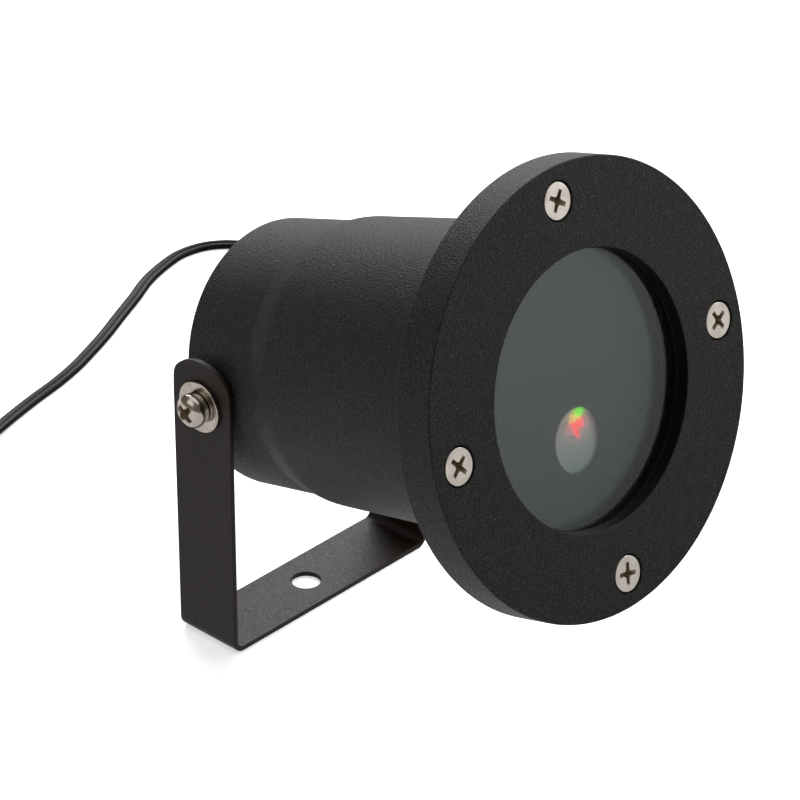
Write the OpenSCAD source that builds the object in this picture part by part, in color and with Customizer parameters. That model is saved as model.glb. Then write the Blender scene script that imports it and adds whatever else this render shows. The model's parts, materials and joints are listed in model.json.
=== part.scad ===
// A laser show projector: a tilting head with a round window, held by a U bracket, with its lead.
// Millimetres, +Z up. The origin is on the bracket's underside, in the middle of its bolt hole.
// The head faces -Y. Its pieces are drawn in a frame of their own: +Z is the depth from the
// bezel's front face, +X is to the side and +Y is down. in_head() puts them at rest.

/* [Head pose] */
// Height of the pivot above the bracket's underside
pivot_h = 63; // [58:0.5:75]
// How far the head is tipped up, in degrees
head_tilt = 15.5; // [0:0.5:45]
// Depth of the pivot behind the bezel's front face
pivot_depth = 89; // [86:0.5:95]

/* [Front bezel] */
// Outer diameter of the bezel
bezel_d = 100; // [92:1:112]
// Depth of the bezel's side wall
bezel_depth = 9.4; // [9:0.2:11]
// Thickness of the bezel's front plate
bezel_plate = 4.3; // [3.8:0.1:4.6]
// Thickness of the skirt round the housing's flange
skirt_t = 3; // [2:0.1:3.2]
// Diameter of the window opening in the front face
window_d = 61.2; // [58:0.2:68]
// How much the window opening narrows towards the glass, on the radius
window_draft = 0.5; // [0.2:0.1:0.8]
// Chamfer on the bezel's outer front edge
bezel_chamfer = 0.4; // [0.2:0.1:0.8]
// Distance of the bezel screws' axes from the bezel's edge
screw_inset = 7.5; // [7:0.1:8]
// Number of bezel screws
bezel_screw_n = 4; // [3:1:8]

/* [Housing] */
// Wall of the front section round the glass's recess
recess_wall = 2; // [1.8:0.1:3]
// Loss of radius of the front section for each millimetre of depth
front_taper = 0.04; // [0.03:0.005:0.05]
// Diameter of the housing at its rear face
rear_section_d = 61.5; // [58:0.5:64]
// Gain of radius of the rear section for each millimetre forward of the rear face
rear_taper = 0.035; // [0.02:0.005:0.04]
// Distance from the pivot forward to the foot of the step
step_ahead = 15.8; // [14:0.2:18]
// Length of the sloping step between the two sections
step_len = 3.5; // [2:0.5:4]
// Distance from the pivot back to the rear face
rear_overhang = 5.7; // [5.5:0.1:7]
// Wall thickness of the housing
wall = 2.6; // [2:0.1:2.8]
// Thickness of the rear wall
rear_wall = 3; // [2.8:0.1:3.5]

/* [Window] */
// Thickness of the window glass
glass_t = 4; // [3:0.5:5]
// How far the glass reaches past the window opening, on the radius
glass_lap = 2.9; // [2.4:0.1:3]
// Depth of the seat for the glass in the back of the bezel's plate
glass_seat = 1.6; // [1:0.1:2]
// Thickness of the gasket in front of the glass
gasket_t = 0.5; // [0.4:0.1:0.8]
// Thickness of the gasket between the glass and the mask
rear_gasket_t = 2.1; // [1.5:0.1:2.5]
// Thickness of the aperture mask
mask_t = 1; // [0.8:0.1:1.5]
// Diameter of the hole in the mask
aperture_d = 14.5; // [12:0.5:15]
// Side of the square of grating film behind the hole
film_w = 19; // [18:0.5:22]
// Thickness of the grating film
film_t = 0.4; // [0.3:0.1:0.6]
// Distance of the beam below the head's axis
beam_drop = 12.2; // [12:0.1:12.8]

/* [Grating wheel and motor] */
// Radius of the grating disc
grating_r = 22; // [21:0.5:26]
// Thickness of the grating disc
grating_t = 0.5; // [0.3:0.1:0.8]
// Free space between the mask and the grating disc
grating_space = 3.2; // [2:0.2:4]
// Radius of the wheel hub
hub_r = 4.5; // [3.5:0.1:4.6]
// Length of the wheel hub
hub_len = 5; // [4:0.5:6]
// Space between the hub and the optics plate
hub_space = 5; // [4:0.5:6]
// Radius of the motor shaft
shaft_r = 1.5; // [1.5:0.1:1.8]
// Width of the gear motor
motor_w = 12; // [11.5:0.1:12.5]
// Height of the gear motor
motor_h = 10; // [9.6:0.1:10.4]
// Length of the gearbox
gearbox_len = 9; // [8:0.5:12]
// Length of the motor can
motor_len = 15; // [12:0.5:16]
// Thickness of the optics plate
plate_t = 2; // [1.5:0.1:2.5]

/* [Lasers] */
// Radius of a laser module
module_r = 6; // [5.5:0.1:6]
// Length of a laser module
module_len = 26; // [20:0.5:28]
// Distance between the green and the red laser's axes
module_pitch = 12.5; // [12.5:0.1:13]
// Length of the laser block
block_len = 20; // [19:0.5:22]
// Depth of the bores that hold the modules
bore_len = 9; // [8:0.5:9.5]

/* [Driver board] */
// Radius of the driver board
board_r = 25; // [24:0.5:26]
// Thickness of the driver board
board_t = 1.6; // [1.2:0.2:2]
// Length of the pillars behind the board
pillar_len = 18; // [17:0.5:19]
// Radius of the circle that the pillars stand on
pillar_circle_r = 19; // [18.5:0.1:20]

/* [Bracket] */
// Width of the bracket strip
strip_w = 18; // [16:0.5:20]
// Thickness of the bracket strip
strip_t = 1.2; // [1:0.1:1.6]
// Inside radius of the two bends
bend_r = 1.8; // [1:0.1:3]
// Radius of the rounded leg ends about the pivot
leg_end_r = 11; // [10.5:0.1:12]
// Diameter of the bolt hole in the base
bolt_hole_d = 7; // [5:0.5:8]

/* [Pivot screws] */
// Thread diameter of the pivot screws
pivot_screw_d = 4; // [3.5:0.5:4.5]
// Length of a pivot screw under its head
pivot_screw_len = 10; // [9:0.5:11]
// Diameter of the pivot screw's head
pivot_head_d = 8; // [7.5:0.1:8.5]
// Height of the pivot screw's head
pivot_head_h = 2.8; // [2.4:0.1:3.2]
// Diameter of the flat washer
washer_d = 12.3; // [11:0.1:13]
// Thickness of the flat washer
washer_t = 1; // [0.8:0.1:1.2]
// Diameter of the spring washer
spring_washer_d = 7.6; // [7:0.1:8]
// Thickness of the spring washer
spring_washer_t = 1.1; // [0.9:0.1:1.3]

/* [Lead] */
// Width of the flat lead
lead_w = 3.6; // [3.2:0.1:4]
// Thickness of the flat lead
lead_t = 1.8; // [1.6:0.1:2]
// Number of turns in one layer of the coil
coil_turns = 6; // [4:1:7]
// Sideways distance from one turn of the coil to the next
coil_pitch = 4.1; // [4.1:0.1:4.5]
// Height from one layer of the coil to the next
coil_rise = 2.4; // [2.4:0.1:3]
// Diameter of the coil at the middle of its turns
coil_mid_d = 43.2; // [42:0.2:50]
// Thickness of the ties round the coil
tie_t = 1; // [0.8:0.1:1]
// Width of the ties round the coil
tie_w = 3; // [2:0.5:4]

/* [Hidden] */
$fn = 96;

// Clearances
eps = 0.01;
seal_gap = 0.01;
skirt_gap = 0.3;
glass_gap = 0.3;
thread_gap = 0.05;
run_gap = 0.05;
fit_gap = 0.1;
leg_gap = 0.335;
press_gap = 0.02;

// Depths along the head's axis, from the bezel's front face
seat_z = bezel_plate - glass_seat;
glass_z = seat_z + gasket_t;
rear_gasket_z = glass_z + glass_t;
mask_z = rear_gasket_z + rear_gasket_t;
ledge_z = mask_z + mask_t;
grating_z = ledge_z + grating_space;
hub_z = grating_z + grating_t;
plate_z = hub_z + hub_len + hub_space;
block_z = plate_z + plate_t;
bore_z = block_z + block_len - bore_len;
module_z = bore_z + fit_gap;
gearbox_end_z = block_z + gearbox_len;
motor_end_z = gearbox_end_z + motor_len;
step_z = pivot_depth - step_ahead;
rear_z = pivot_depth + rear_overhang;
floor_z = rear_z - rear_wall;
board_back_z = floor_z - pillar_len;
board_z = board_back_z - board_t;

// Radii of the head
bezel_r = bezel_d / 2;
flange_r = bezel_r - skirt_t - skirt_gap;
window_r = window_d / 2 - window_draft;
glass_r = window_r + glass_lap;
recess_r = glass_r + glass_gap;
gasket_in_r = window_r + 0.4;
gasket_out_r = glass_r - 0.1;
ledge_r = recess_r - 2.3;
ledge_t = 2.6;
plate_r = ledge_r - 0.4;
front_r = recess_r + recess_wall;
rear_r = rear_section_d / 2;
screw_circle_r = bezel_r - screw_inset;
front_end_r = front_r - front_taper * (step_z - step_len - bezel_depth);
step_foot_r = rear_r + rear_taper * (rear_z - step_z);

// Bezel screws, and the seal between them and the glass's recess
bezel_screw_d = 4;
seal_d = 1.5;
groove_w = seal_d + 0.3;
seal_r = (recess_r + screw_circle_r - bezel_screw_d / 2) / 2;
bezel_screw_len = 8;
bezel_head_d = 8;
bezel_head_sink = 0.2;
bezel_pocket_d = 8.9;
bezel_pocket = 0.7;
bezel_head_rim = 0.5;
bezel_screw_turn = 38;

// Cross recesses, as shares of the screw's head
cross_share = 0.56;
cross_depth_share = 0.6;

// How far a blind hole runs past its screw's tip
hole_past = 0.8;

// M3 screws, and the bosses in the housing that take the plate's
m3_r = 1.5;
m3_head_r = 2.75;
m3_head_h = 2;
plate_screw_len = 8;
boss_len = 14;
boss_circle_r = plate_r - 3;
boss_r = front_r - wall - front_taper * (block_z - bezel_depth) - boss_circle_r + 0.4;
boss_angles = [-90, 15, 165];
boss_sunk = 0.5;

// Pivot screws and their bosses
pivot_boss_r = 5;
pivot_boss_floor = 2.5;
pivot_screw_r = pivot_screw_d / 2;

// Small screws of the motor and of the laser block
motor_screw_r = 0.8;
motor_screw_len = 3;
motor_screw_x = 4.3;
block_screw_r = 1.3;
block_screw_len = 1.6;
block_screw_inset = 2.6;

// Bracket and the stack of washers on its legs
leg_in = rear_r + rear_taper * (rear_overhang + strip_w / 2) + leg_gap;
leg_out = leg_in + strip_t;
spring_x = leg_out + washer_t;
pivot_head_x = spring_x + spring_washer_t;
pivot_tip_x = pivot_head_x - pivot_screw_len;
pivot_boss_x = pivot_tip_x - pivot_boss_floor;

// Laser block and what it holds
block_top = beam_drop - module_r - 0.2;
block_bottom = beam_drop + module_r + 0.2;
block_left = -8;
block_right = module_pitch + module_r + 1;
chamber_h = 8.5;
chamber_front = block_z + 2;
mirror_w = 8;
mirror_t = 1;
beam_r = 2.5;
lens_r = 3;
lens_t = 1.5;
mirror_z = (chamber_front + bore_z) / 2;

// Pillars and board
pillar_angles = [90, 210, 330];
pillar_r = 2.75;
pillar_stud_len = 2;
pillar_hole_past = 0.2;
board_screw_len = 6.6;

// Cable gland
gland_r = 6;
gland_hex_r = 8.66;
gland_hex_t = 3.5;
gland_in_len = 8.7;
gland_top_r = 5.2;
gland_top_len = 5.3;
gland_bore_r = 2.4;
gland_seal_r = 3.5;
lock_nut_t = 3.5;
gland_nut_r = 7.5;
gland_hex_z = rear_z;
gland_top_z = gland_hex_z + gland_hex_t;
gland_nut_z = gland_top_z + 0.2;
gland_dome_z = gland_top_z + gland_top_len + 0.5;
gland_end_z = gland_dome_z + 4.7;
inner_lead_end_z = gland_end_z + 2;

// Supply terminal behind the board, with a slot for the lead in the side that faces the axis
terminal_w = 10;
terminal_h = 6;
terminal_len = 8;
terminal_y = 9.5;
terminal_slot = 3;
terminal_entry_z = board_back_z + 5;

// Route of the lead inside the head: straight through the gland, then a bend to the terminal
inner_bend = 6;
inner_route = concat(
    [for (z = [inner_lead_end_z, gland_top_z, rear_z]) [0, 0, z]],
    [for (a = [0:22.5:90])
        [0, inner_bend * (1 - cos(a)), terminal_entry_z + inner_bend * (1 - sin(a))]],
    [[0, terminal_y + terminal_slot - fit_gap, terminal_entry_z]]
);

// Parts on the board: where each one stands, and for a chip its width, height and thickness
capacitor_places = [[-9, -13], [-1, -15.5]];
capacitor_d = 6.3;
capacitor_h = 7;
inductor_place = [8, -12];
inductor_r = 4.2;
inductor_core_r = 3;
inductor_h = 5;
inductor_rim = 1;
chip_places = [[-5, -7], [5, -5.5], [-12, 8]];
chip_sizes = [[5, 4, 1.6], [4, 4, 1.2], [6, 6, 1.8]];

// Wire headers on the board
header_w = 7.5;
header_h = 5.8;
header_len = 6;
header_wall = 1;
header_deep = 3;
header_x = [-19, 9];
wire_r = 0.6;

// Where the free lead starts: the end of the lead that stands out of the gland, at rest
lead_dir = [0, cos(head_tilt), -sin(head_tilt)];
lead_exit = [0, 0, pivot_h] + (inner_lead_end_z - pivot_depth) * lead_dir;

// The coil: its middle, the bearing of its two ends, and the radii of its turns
coil_centre = [-32, 133, 0];
coil_bearing = -75;
coil_layers = 2;
coil_rings = 24;
coil_sides = 6;
coil_mean_r = coil_mid_d / 2;
coil_out_r = coil_mean_r + coil_pitch * coil_turns / 2;
coil_in_r = coil_mean_r - coil_pitch * coil_turns / 2;
coil_low = tie_t + 0.2 + lead_t / 2;
coil_high = coil_low + coil_rise * (coil_layers - 1);
coil_heading = [sin(coil_bearing), -cos(coil_bearing), 0];
coil_touch = coil_centre + coil_out_r * [cos(coil_bearing), sin(coil_bearing), 0];
coil_start = coil_touch - lead_w * coil_heading + [0, 0, coil_low];
coil_end = coil_touch + lead_w * coil_heading + [0, 0, coil_high];

// Route of the free lead: straight out of the gland, down behind the head, round on the floor
flat = lead_t / 2;
lead_route = [
    lead_exit,
    lead_exit + 4 * lead_dir,
    lead_exit + 9 * lead_dir,
    [3.5, 37, 51.3], [8.5, 43, 44.5], [14.5, 48.7, 35.8], [21, 54.5, 26], [28, 60.5, 16.5],
    [37, 66.5, 8], [47.5, 72.5, 3], [58.5, 78.5, flat], [70, 84, flat], [81, 89, flat],
    [91.5, 94, flat], [101, 100, flat], [108.5, 107.5, flat], [113, 116.5, flat],
    [114, 125.5, flat], [111, 134, flat], [105, 139.5, flat], [96.5, 141.5, flat],
    [88, 140, flat], [79, 137, flat], [70, 132.5, flat], [60, 127.8, flat], [50, 123, flat],
    [41, 119.2, flat], [33, 116.1, flat], [24.5, 113.6, flat], [14, 111.3, flat],
    [4, 108.6, 1.1], [-6, 105.3, 1.6],
    coil_start - 4 * coil_heading,
    coil_start
];

// Route of the lead's tail, from the coil to the plug
tail_route = [
    coil_end,
    coil_end + 4 * coil_heading,
    [-37, 96.5, coil_high], [-44, 94, coil_high], [-51, 91, coil_high], [-57, 88, coil_high]
];
plug_at = tail_route[len(tail_route) - 1];
plug_step = plug_at - tail_route[len(tail_route) - 2];
plug_bearing = atan2(plug_step[1], plug_step[0]);
plug_r = coil_high;
plug_len = 34;
plug_neck_len = 14;
plug_neck_r = 2.8;
plug_barrel_r = 2.75;
plug_barrel_len = 9.5;
plug_wall = 1.1;
plug_pin_r = 1.05;

function unit(v) = v / norm(v);
function run_dir(p, i) = unit(p[min(i + 1, len(p) - 1)] - p[max(i - 1, 0)]);
function across(t) = abs(t[2]) > 0.999 ? [1, 0, 0] : unit(cross(t, [0, 0, 1]));

// One ring of a flat lead: an ellipse whose width lies level, square to the route
function ring(p, i, w, t, n) =
    let (d = run_dir(p, i), s = across(d), u = cross(s, d))
    [for (k = [0:n - 1]) p[i] + s * (w / 2 * cos(360 * k / n)) + u * (t / 2 * sin(360 * k / n))];

// A ring of a round wire whose route may run any way
function wire_ring(p, i, r, n) =
    let (d = run_dir(p, i), s = unit(cross(d, [0.3, 1, 0.2])), u = cross(s, d))
    [for (k = [0:n - 1]) p[i] + s * (r * cos(360 * k / n)) + u * (r * sin(360 * k / n))];

function tube_faces(m, n) = concat(
    [for (k = [1:n - 2]) [0, k, k + 1]],
    [for (i = [0:m - 2]) for (k = [0:n - 1]) [i * n + k, (i + 1) * n + k, i * n + (k + 1) % n]],
    [for (i = [0:m - 2]) for (k = [0:n - 1])
        [(i + 1) * n + k, (i + 1) * n + (k + 1) % n, i * n + (k + 1) % n]],
    [for (k = [1:n - 2]) [(m - 1) * n, (m - 1) * n + k + 1, (m - 1) * n + k]]
);

// The coil's path: in along the lower layer at a steady rate, up in the half turn where the
// spiral turns back, and out again along the upper layer. u counts turns from the lead's end.
function smooth(x) = let (c = max(0, min(1, x))) c * c * (3 - 2 * c);
function coil_r(u) = coil_in_r + coil_pitch * abs(coil_turns - u);
function coil_z(u) = coil_low + coil_rise * smooth(2 * (u - coil_turns) + 0.5);
function coil_point(u) =
    let (a = coil_bearing - 360 * u)
    coil_centre + [coil_r(u) * cos(a), coil_r(u) * sin(a), coil_z(u)];
coil_path = concat(
    [coil_start],
    [for (i = [0:coil_layers * coil_turns * coil_rings]) coil_point(i / coil_rings)],
    [coil_end]
);

module in_head() {
    translate([0, 0, pivot_h]) rotate([-head_tilt, 0, 0]) translate([0, -pivot_depth, 0])
        rotate([-90, 0, 0]) children();
}

module ring_of(r_out, r_in, z, t) {
    translate([0, 0, z]) difference() {
        cylinder(r = r_out, h = t);
        translate([0, 0, -eps]) cylinder(r = r_in, h = t + 2 * eps);
    }
}

module at_screws(z) {
    for (i = [0:bezel_screw_n - 1]) rotate([0, 0, 360 * i / bezel_screw_n - 90])
        translate([screw_circle_r, 0, z]) children();
}

// A cross recess, cut down from z = 0
module cross_recess(size, depth) {
    for (a = [0, 90]) rotate([0, 0, a]) translate([-size / 2, -size / 10, -eps])
        cube([size, size / 5, depth + eps]);
}

module bezel_profile() {
    polygon([
        [window_d / 2, 0], [bezel_r - bezel_chamfer, 0], [bezel_r, bezel_chamfer],
        [bezel_r, bezel_depth], [bezel_r - skirt_t, bezel_depth], [bezel_r - skirt_t, bezel_plate],
        [recess_r, bezel_plate], [recess_r, seat_z], [window_r, seat_z]
    ]);
}

module front_bezel() {
    color([0.1, 0.1, 0.1]) in_head() difference() {
        rotate_extrude() bezel_profile();
        at_screws(-eps) {
            cylinder(d = bezel_pocket_d, h = bezel_pocket + eps);
            cylinder(d = bezel_screw_d + 2 * fit_gap, h = bezel_plate + 2 * eps);
        }
        at_screws(bezel_pocket - eps)
            cylinder(d1 = bezel_pocket_d, d2 = 0, h = bezel_pocket_d / 2);
    }
}

module bezel_screw() {
    cone_z = bezel_head_sink + bezel_head_rim;
    difference() {
        union() {
            translate([0, 0, bezel_head_sink]) cylinder(d = bezel_head_d, h = bezel_head_rim);
            translate([0, 0, cone_z - eps])
                cylinder(d1 = bezel_head_d, d2 = bezel_screw_d, h = (bezel_head_d - bezel_screw_d) / 2);
            translate([0, 0, bezel_head_sink + eps])
                cylinder(d = bezel_screw_d, h = bezel_screw_len - eps);
        }
        translate([0, 0, bezel_head_sink]) cross_recess(bezel_head_d * cross_share, 1.6);
    }
}

module bezel_screws() {
    color([0.75, 0.73, 0.7]) in_head() at_screws(0) rotate([0, 0, bezel_screw_turn]) bezel_screw();
}

module bezel_seal() {
    color([0.06, 0.06, 0.06]) in_head() translate([0, 0, bezel_plate + seal_d / 2])
        rotate_extrude() translate([seal_r, 0]) circle(d = seal_d - 2 * seal_gap, $fn = 32);
}

module front_gasket() {
    color([0.05, 0.05, 0.06]) in_head() ring_of(gasket_out_r, gasket_in_r, seat_z, gasket_t);
}

module window_glass() {
    color([0.55, 0.6, 0.6, 0.4]) in_head() translate([0, 0, glass_z]) cylinder(r = glass_r, h = glass_t);
}

module rear_gasket() {
    color([0.05, 0.05, 0.06]) in_head() ring_of(gasket_out_r, gasket_in_r, rear_gasket_z, rear_gasket_t);
}

module aperture_mask() {
    color([0.2, 0.22, 0.22]) in_head() difference() {
        translate([0, 0, mask_z]) cylinder(r = glass_r - 0.1, h = mask_t);
        translate([0, beam_drop, mask_z - 1]) cylinder(d = aperture_d, h = mask_t + 2);
    }
}

module grating_film() {
    color([0.8, 0.72, 0.72, 0.6]) in_head() translate([-film_w / 2, beam_drop - film_w / 2, ledge_z])
        cube([film_w, film_w, film_t]);
}

module housing_profile() {
    inner_step_r = front_end_r - wall;
    inner_foot_r = step_foot_r - wall;
    polygon([
        [recess_r, bezel_plate], [flange_r, bezel_plate], [flange_r, bezel_depth],
        [front_r, bezel_depth], [front_end_r, step_z - step_len], [step_foot_r, step_z],
        [rear_r, rear_z], [0, rear_z], [0, floor_z],
        [rear_r + rear_taper * rear_wall - wall, floor_z], [inner_foot_r, step_z],
        [inner_step_r, step_z - step_len], [front_r - wall - front_taper * ledge_t, ledge_z + 2 * ledge_t],
        [ledge_r, ledge_z + ledge_t], [ledge_r, ledge_z], [recess_r, ledge_z]
    ]);
}

module at_bosses(z) {
    for (a = boss_angles) rotate([0, 0, a]) translate([boss_circle_r, 0, z]) children();
}

module at_pillars(z) {
    for (a = pillar_angles) rotate([0, 0, a]) translate([pillar_circle_r, 0, z]) children();
}

// Shapes along +X at the pivot, drawn on both sides
module at_pivots() {
    for (s = [0, 1]) mirror([s, 0, 0]) translate([0, 0, pivot_depth]) rotate([0, 90, 0]) children();
}

module housing() {
    color([0.1, 0.1, 0.1]) in_head() difference() {
        union() {
            rotate_extrude() housing_profile();
            intersection() {
                at_bosses(block_z) cylinder(r = boss_r, h = boss_len);
                cylinder(r = front_end_r - boss_sunk, h = step_z);
            }
            at_pivots() translate([0, 0, pivot_boss_x])
                cylinder(r = pivot_boss_r, h = rear_r - wall / 2 - pivot_boss_x);
        }
        translate([0, 0, floor_z - 1]) cylinder(r = gland_r + fit_gap, h = rear_wall + 2);
        translate([0, 0, bezel_plate - eps]) rotate_extrude()
            translate([seal_r - groove_w / 2, 0]) square([groove_w, seal_d + eps]);
        at_screws(bezel_plate - eps)
            cylinder(
                d = bezel_screw_d + 2 * thread_gap,
                h = bezel_head_sink + bezel_screw_len - bezel_plate + hole_past
            );
        at_bosses(block_z - 1)
            cylinder(r = m3_r + thread_gap, h = 1 + plate_screw_len - plate_t + hole_past);
        at_pillars(floor_z - 1)
            cylinder(r = m3_r + thread_gap, h = 1 + pillar_stud_len + pillar_hole_past);
        at_pivots() translate([0, 0, pivot_tip_x - 0.5])
            cylinder(r = pivot_screw_r + thread_gap, h = rear_r);
    }
}

module optics_plate() {
    color([0.6, 0.62, 0.64]) in_head() difference() {
        translate([0, 0, plate_z]) cylinder(r = plate_r, h = plate_t);
        translate([0, 0, plate_z - 1]) cylinder(r = shaft_r + 1, h = plate_t + 2);
        translate([0, beam_drop, plate_z - 1]) cylinder(r = beam_r + 1.5, h = plate_t + 2);
        at_bosses(plate_z - 1) cylinder(r = m3_r + fit_gap, h = plate_t + 2);
        at_motor_screws(plate_z - 1) cylinder(r = motor_screw_r + fit_gap, h = plate_t + 2);
        at_block_screws(plate_z - 1) cylinder(r = block_screw_r + fit_gap, h = plate_t + 2);
    }
}

// A pan head screw that points along +Z, its head under z = 0
module pan_screw(r, len, head_r, head_h) {
    difference() {
        union() {
            translate([0, 0, -head_h]) cylinder(r = head_r, h = head_h);
            translate([0, 0, -eps]) cylinder(r = r, h = len + eps);
        }
        translate([0, 0, -head_h])
            cross_recess(2 * head_r * cross_share, head_h * cross_depth_share);
    }
}

module plate_screws() {
    color([0.75, 0.73, 0.7]) in_head() at_bosses(plate_z)
        pan_screw(m3_r, plate_screw_len, m3_head_r, m3_head_h);
}

module at_motor_screws(z) {
    for (s = [-1, 1]) translate([s * motor_screw_x, 0, z]) children();
}

module at_block_screws(z) {
    for (x = [block_left + block_screw_inset, block_right - block_screw_inset])
        translate([x, block_bottom - block_screw_inset, z]) children();
}

module motor_screws() {
    color([0.75, 0.73, 0.7]) in_head() at_motor_screws(plate_z)
        pan_screw(motor_screw_r, plate_t + motor_screw_len, 1.4, 0.9);
}

module block_screws() {
    color([0.75, 0.73, 0.7]) in_head() at_block_screws(plate_z)
        pan_screw(block_screw_r, plate_t + block_screw_len, 2.2, 1.6);
}

module gearbox() {
    color([0.75, 0.65, 0.35]) in_head() difference() {
        translate([-motor_w / 2, -motor_h / 2, block_z]) cube([motor_w, motor_h, gearbox_len]);
        translate([0, 0, block_z - 1]) cylinder(r = shaft_r + run_gap, h = gearbox_len);
        at_motor_screws(block_z - 1)
            cylinder(r = motor_screw_r + thread_gap, h = 1 + motor_screw_len + hole_past);
    }
}

module motor_can() {
    color([0.7, 0.7, 0.72]) in_head() intersection() {
        translate([0, 0, gearbox_end_z]) cylinder(d = motor_w, h = motor_len);
        translate([-motor_w, -motor_h / 2, gearbox_end_z]) cube([2 * motor_w, motor_h, motor_len]);
    }
}

module motor_shaft() {
    color([0.8, 0.8, 0.8]) in_head() translate([0, 0, hub_z + 0.2])
        cylinder(r = shaft_r, h = gearbox_end_z - hub_z - 1.6);
}

module wheel_hub() {
    color([0.85, 0.85, 0.82]) in_head() ring_of(hub_r, shaft_r + press_gap, hub_z, hub_len);
}

module grating_disc() {
    color([0.8, 0.72, 0.75, 0.6]) in_head() ring_of(grating_r, shaft_r, grating_z, grating_t);
}

module laser_block() {
    color([0.66, 0.67, 0.69]) in_head() difference() {
        translate([block_left, block_top, block_z])
            cube([block_right - block_left, block_bottom - block_top, block_len]);
        for (x = [0, module_pitch]) translate([x, beam_drop, bore_z])
            cylinder(r = module_r + run_gap, h = bore_len + 1);
        translate([-mirror_w / 2 - 0.5, beam_drop - chamber_h / 2, chamber_front])
            cube([module_pitch + mirror_w + 1, chamber_h, bore_z - chamber_front + eps]);
        translate([0, beam_drop, block_z - 1]) cylinder(r = beam_r, h = 4);
        at_block_screws(block_z - 1)
            cylinder(r = block_screw_r + thread_gap, h = 1 + block_screw_len + 0.4);
    }
}

module laser_module() {
    difference() {
        translate([0, 0, module_z]) cylinder(r = module_r, h = module_len);
        translate([0, 0, module_z - 1]) cylinder(r = lens_r + thread_gap, h = lens_t + 2);
    }
}

module green_laser() {
    color([0.72, 0.58, 0.3]) in_head() translate([0, beam_drop, 0]) laser_module();
}

module red_laser() {
    color([0.7, 0.56, 0.3]) in_head() translate([module_pitch, beam_drop, 0]) laser_module();
}

module laser_lenses() {
    color([0.7, 0.8, 0.9, 0.5]) in_head() for (x = [0, module_pitch])
        translate([x, beam_drop, module_z + 1]) cylinder(r = lens_r, h = lens_t);
}

module slanted_plate(x) {
    translate([x, beam_drop, mirror_z]) rotate([0, 45, 0])
        cube([mirror_w, chamber_h - 2 * fit_gap, mirror_t], center = true);
}

module fold_mirror() {
    color([0.8, 0.8, 0.85]) in_head() slanted_plate(module_pitch);
}

module dichroic_filter() {
    color([0.7, 0.5, 0.8, 0.5]) in_head() slanted_plate(0);
}

module driver_board() {
    color([0.1, 0.35, 0.2]) in_head() difference() {
        translate([0, 0, board_z]) cylinder(r = board_r, h = board_t);
        at_pillars(board_z - 1) cylinder(r = m3_r + fit_gap, h = board_t + 2);
    }
}

module board_pillars() {
    color([0.75, 0.62, 0.3]) in_head() {
        at_pillars(board_back_z) difference() {
            cylinder(r = pillar_r, h = pillar_len, $fn = 6);
            translate([0, 0, -1])
                cylinder(r = m3_r + thread_gap, h = 1 + board_screw_len - board_t + hole_past);
        }
        at_pillars(floor_z - eps) cylinder(r = m3_r, h = pillar_stud_len);
    }
}

module board_screws() {
    color([0.75, 0.73, 0.7]) in_head() at_pillars(board_z)
        pan_screw(m3_r, board_screw_len, m3_head_r, m3_head_h);
}

module capacitors() {
    color([0.15, 0.2, 0.4]) in_head() for (p = capacitor_places)
        translate([p[0], p[1], board_z - capacitor_h]) cylinder(d = capacitor_d, h = capacitor_h);
}

module inductor() {
    color([0.35, 0.25, 0.15]) in_head()
        translate([inductor_place[0], inductor_place[1], board_z - inductor_h]) {
            cylinder(r = inductor_core_r, h = inductor_h);
            for (z = [0, inductor_h - inductor_rim]) translate([0, 0, z])
                cylinder(r = inductor_r, h = inductor_rim);
        }
}

module chips() {
    color([0.08, 0.08, 0.08]) in_head() for (i = [0:len(chip_places) - 1])
        translate([chip_places[i][0], chip_places[i][1], board_z - chip_sizes[i][2]])
            cube(chip_sizes[i]);
}

module wire_headers() {
    color([0.9, 0.9, 0.86]) in_head() for (x = header_x)
        translate([x, -header_h / 2, board_z - header_len]) difference() {
            cube([header_w, header_h, header_len]);
            translate([header_wall, header_wall, -eps])
                cube([header_w - 2 * header_wall, header_h - 2 * header_wall, header_deep + eps]);
        }
}

module supply_terminal() {
    color([0.1, 0.4, 0.25]) in_head() difference() {
        translate([-terminal_w / 2, terminal_y, board_back_z]) cube([terminal_w, terminal_h, terminal_len]);
        translate([-lead_w / 2 - fit_gap, terminal_y - eps, terminal_entry_z - lead_t / 2 - fit_gap])
            cube([lead_w + 2 * fit_gap, terminal_slot + eps, lead_t + 2 * fit_gap]);
    }
}

module wire(route, r) {
    m = len(route);
    polyhedron(
        points = [for (i = [0:m - 1]) for (q = wire_ring(route, i, r, 8)) q],
        faces = tube_faces(m, 8)
    );
}

module motor_leads() {
    color([0.7, 0.1, 0.1]) in_head() for (s = [-1, 1]) wire([
        [3 * s, 0, motor_end_z],
        [3 * s, 0, motor_end_z + 3],
        [3 * s - 3, -1, motor_end_z + 7],
        [2 * s - 9, -1.5, motor_end_z + 11],
        [1.3 * s - 14, -0.5, board_z - 9],
        [1.3 * s - 15.2, 0, board_z - 5.5],
        [1.3 * s - 15.2, 0, board_z - header_len + header_deep - fit_gap]
    ], wire_r);
}

module laser_leads() {
    tail_z = module_z + module_len;
    color([0.1, 0.1, 0.1]) in_head() for (s = [0, 1]) wire([
        [s * module_pitch, beam_drop, tail_z],
        [s * module_pitch, beam_drop, tail_z + 1.5],
        [4 + s * (module_pitch - 3), 8, tail_z + 2.5],
        [9 + 4 * s, 3.5, tail_z + 1.5],
        [11.5 + 2.4 * s, 0.5, board_z - 8],
        [11.7 + 2.2 * s, 0, board_z - 5],
        [11.7 + 2.2 * s, 0, board_z - header_len + header_deep - fit_gap]
    ], wire_r);
}

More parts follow.
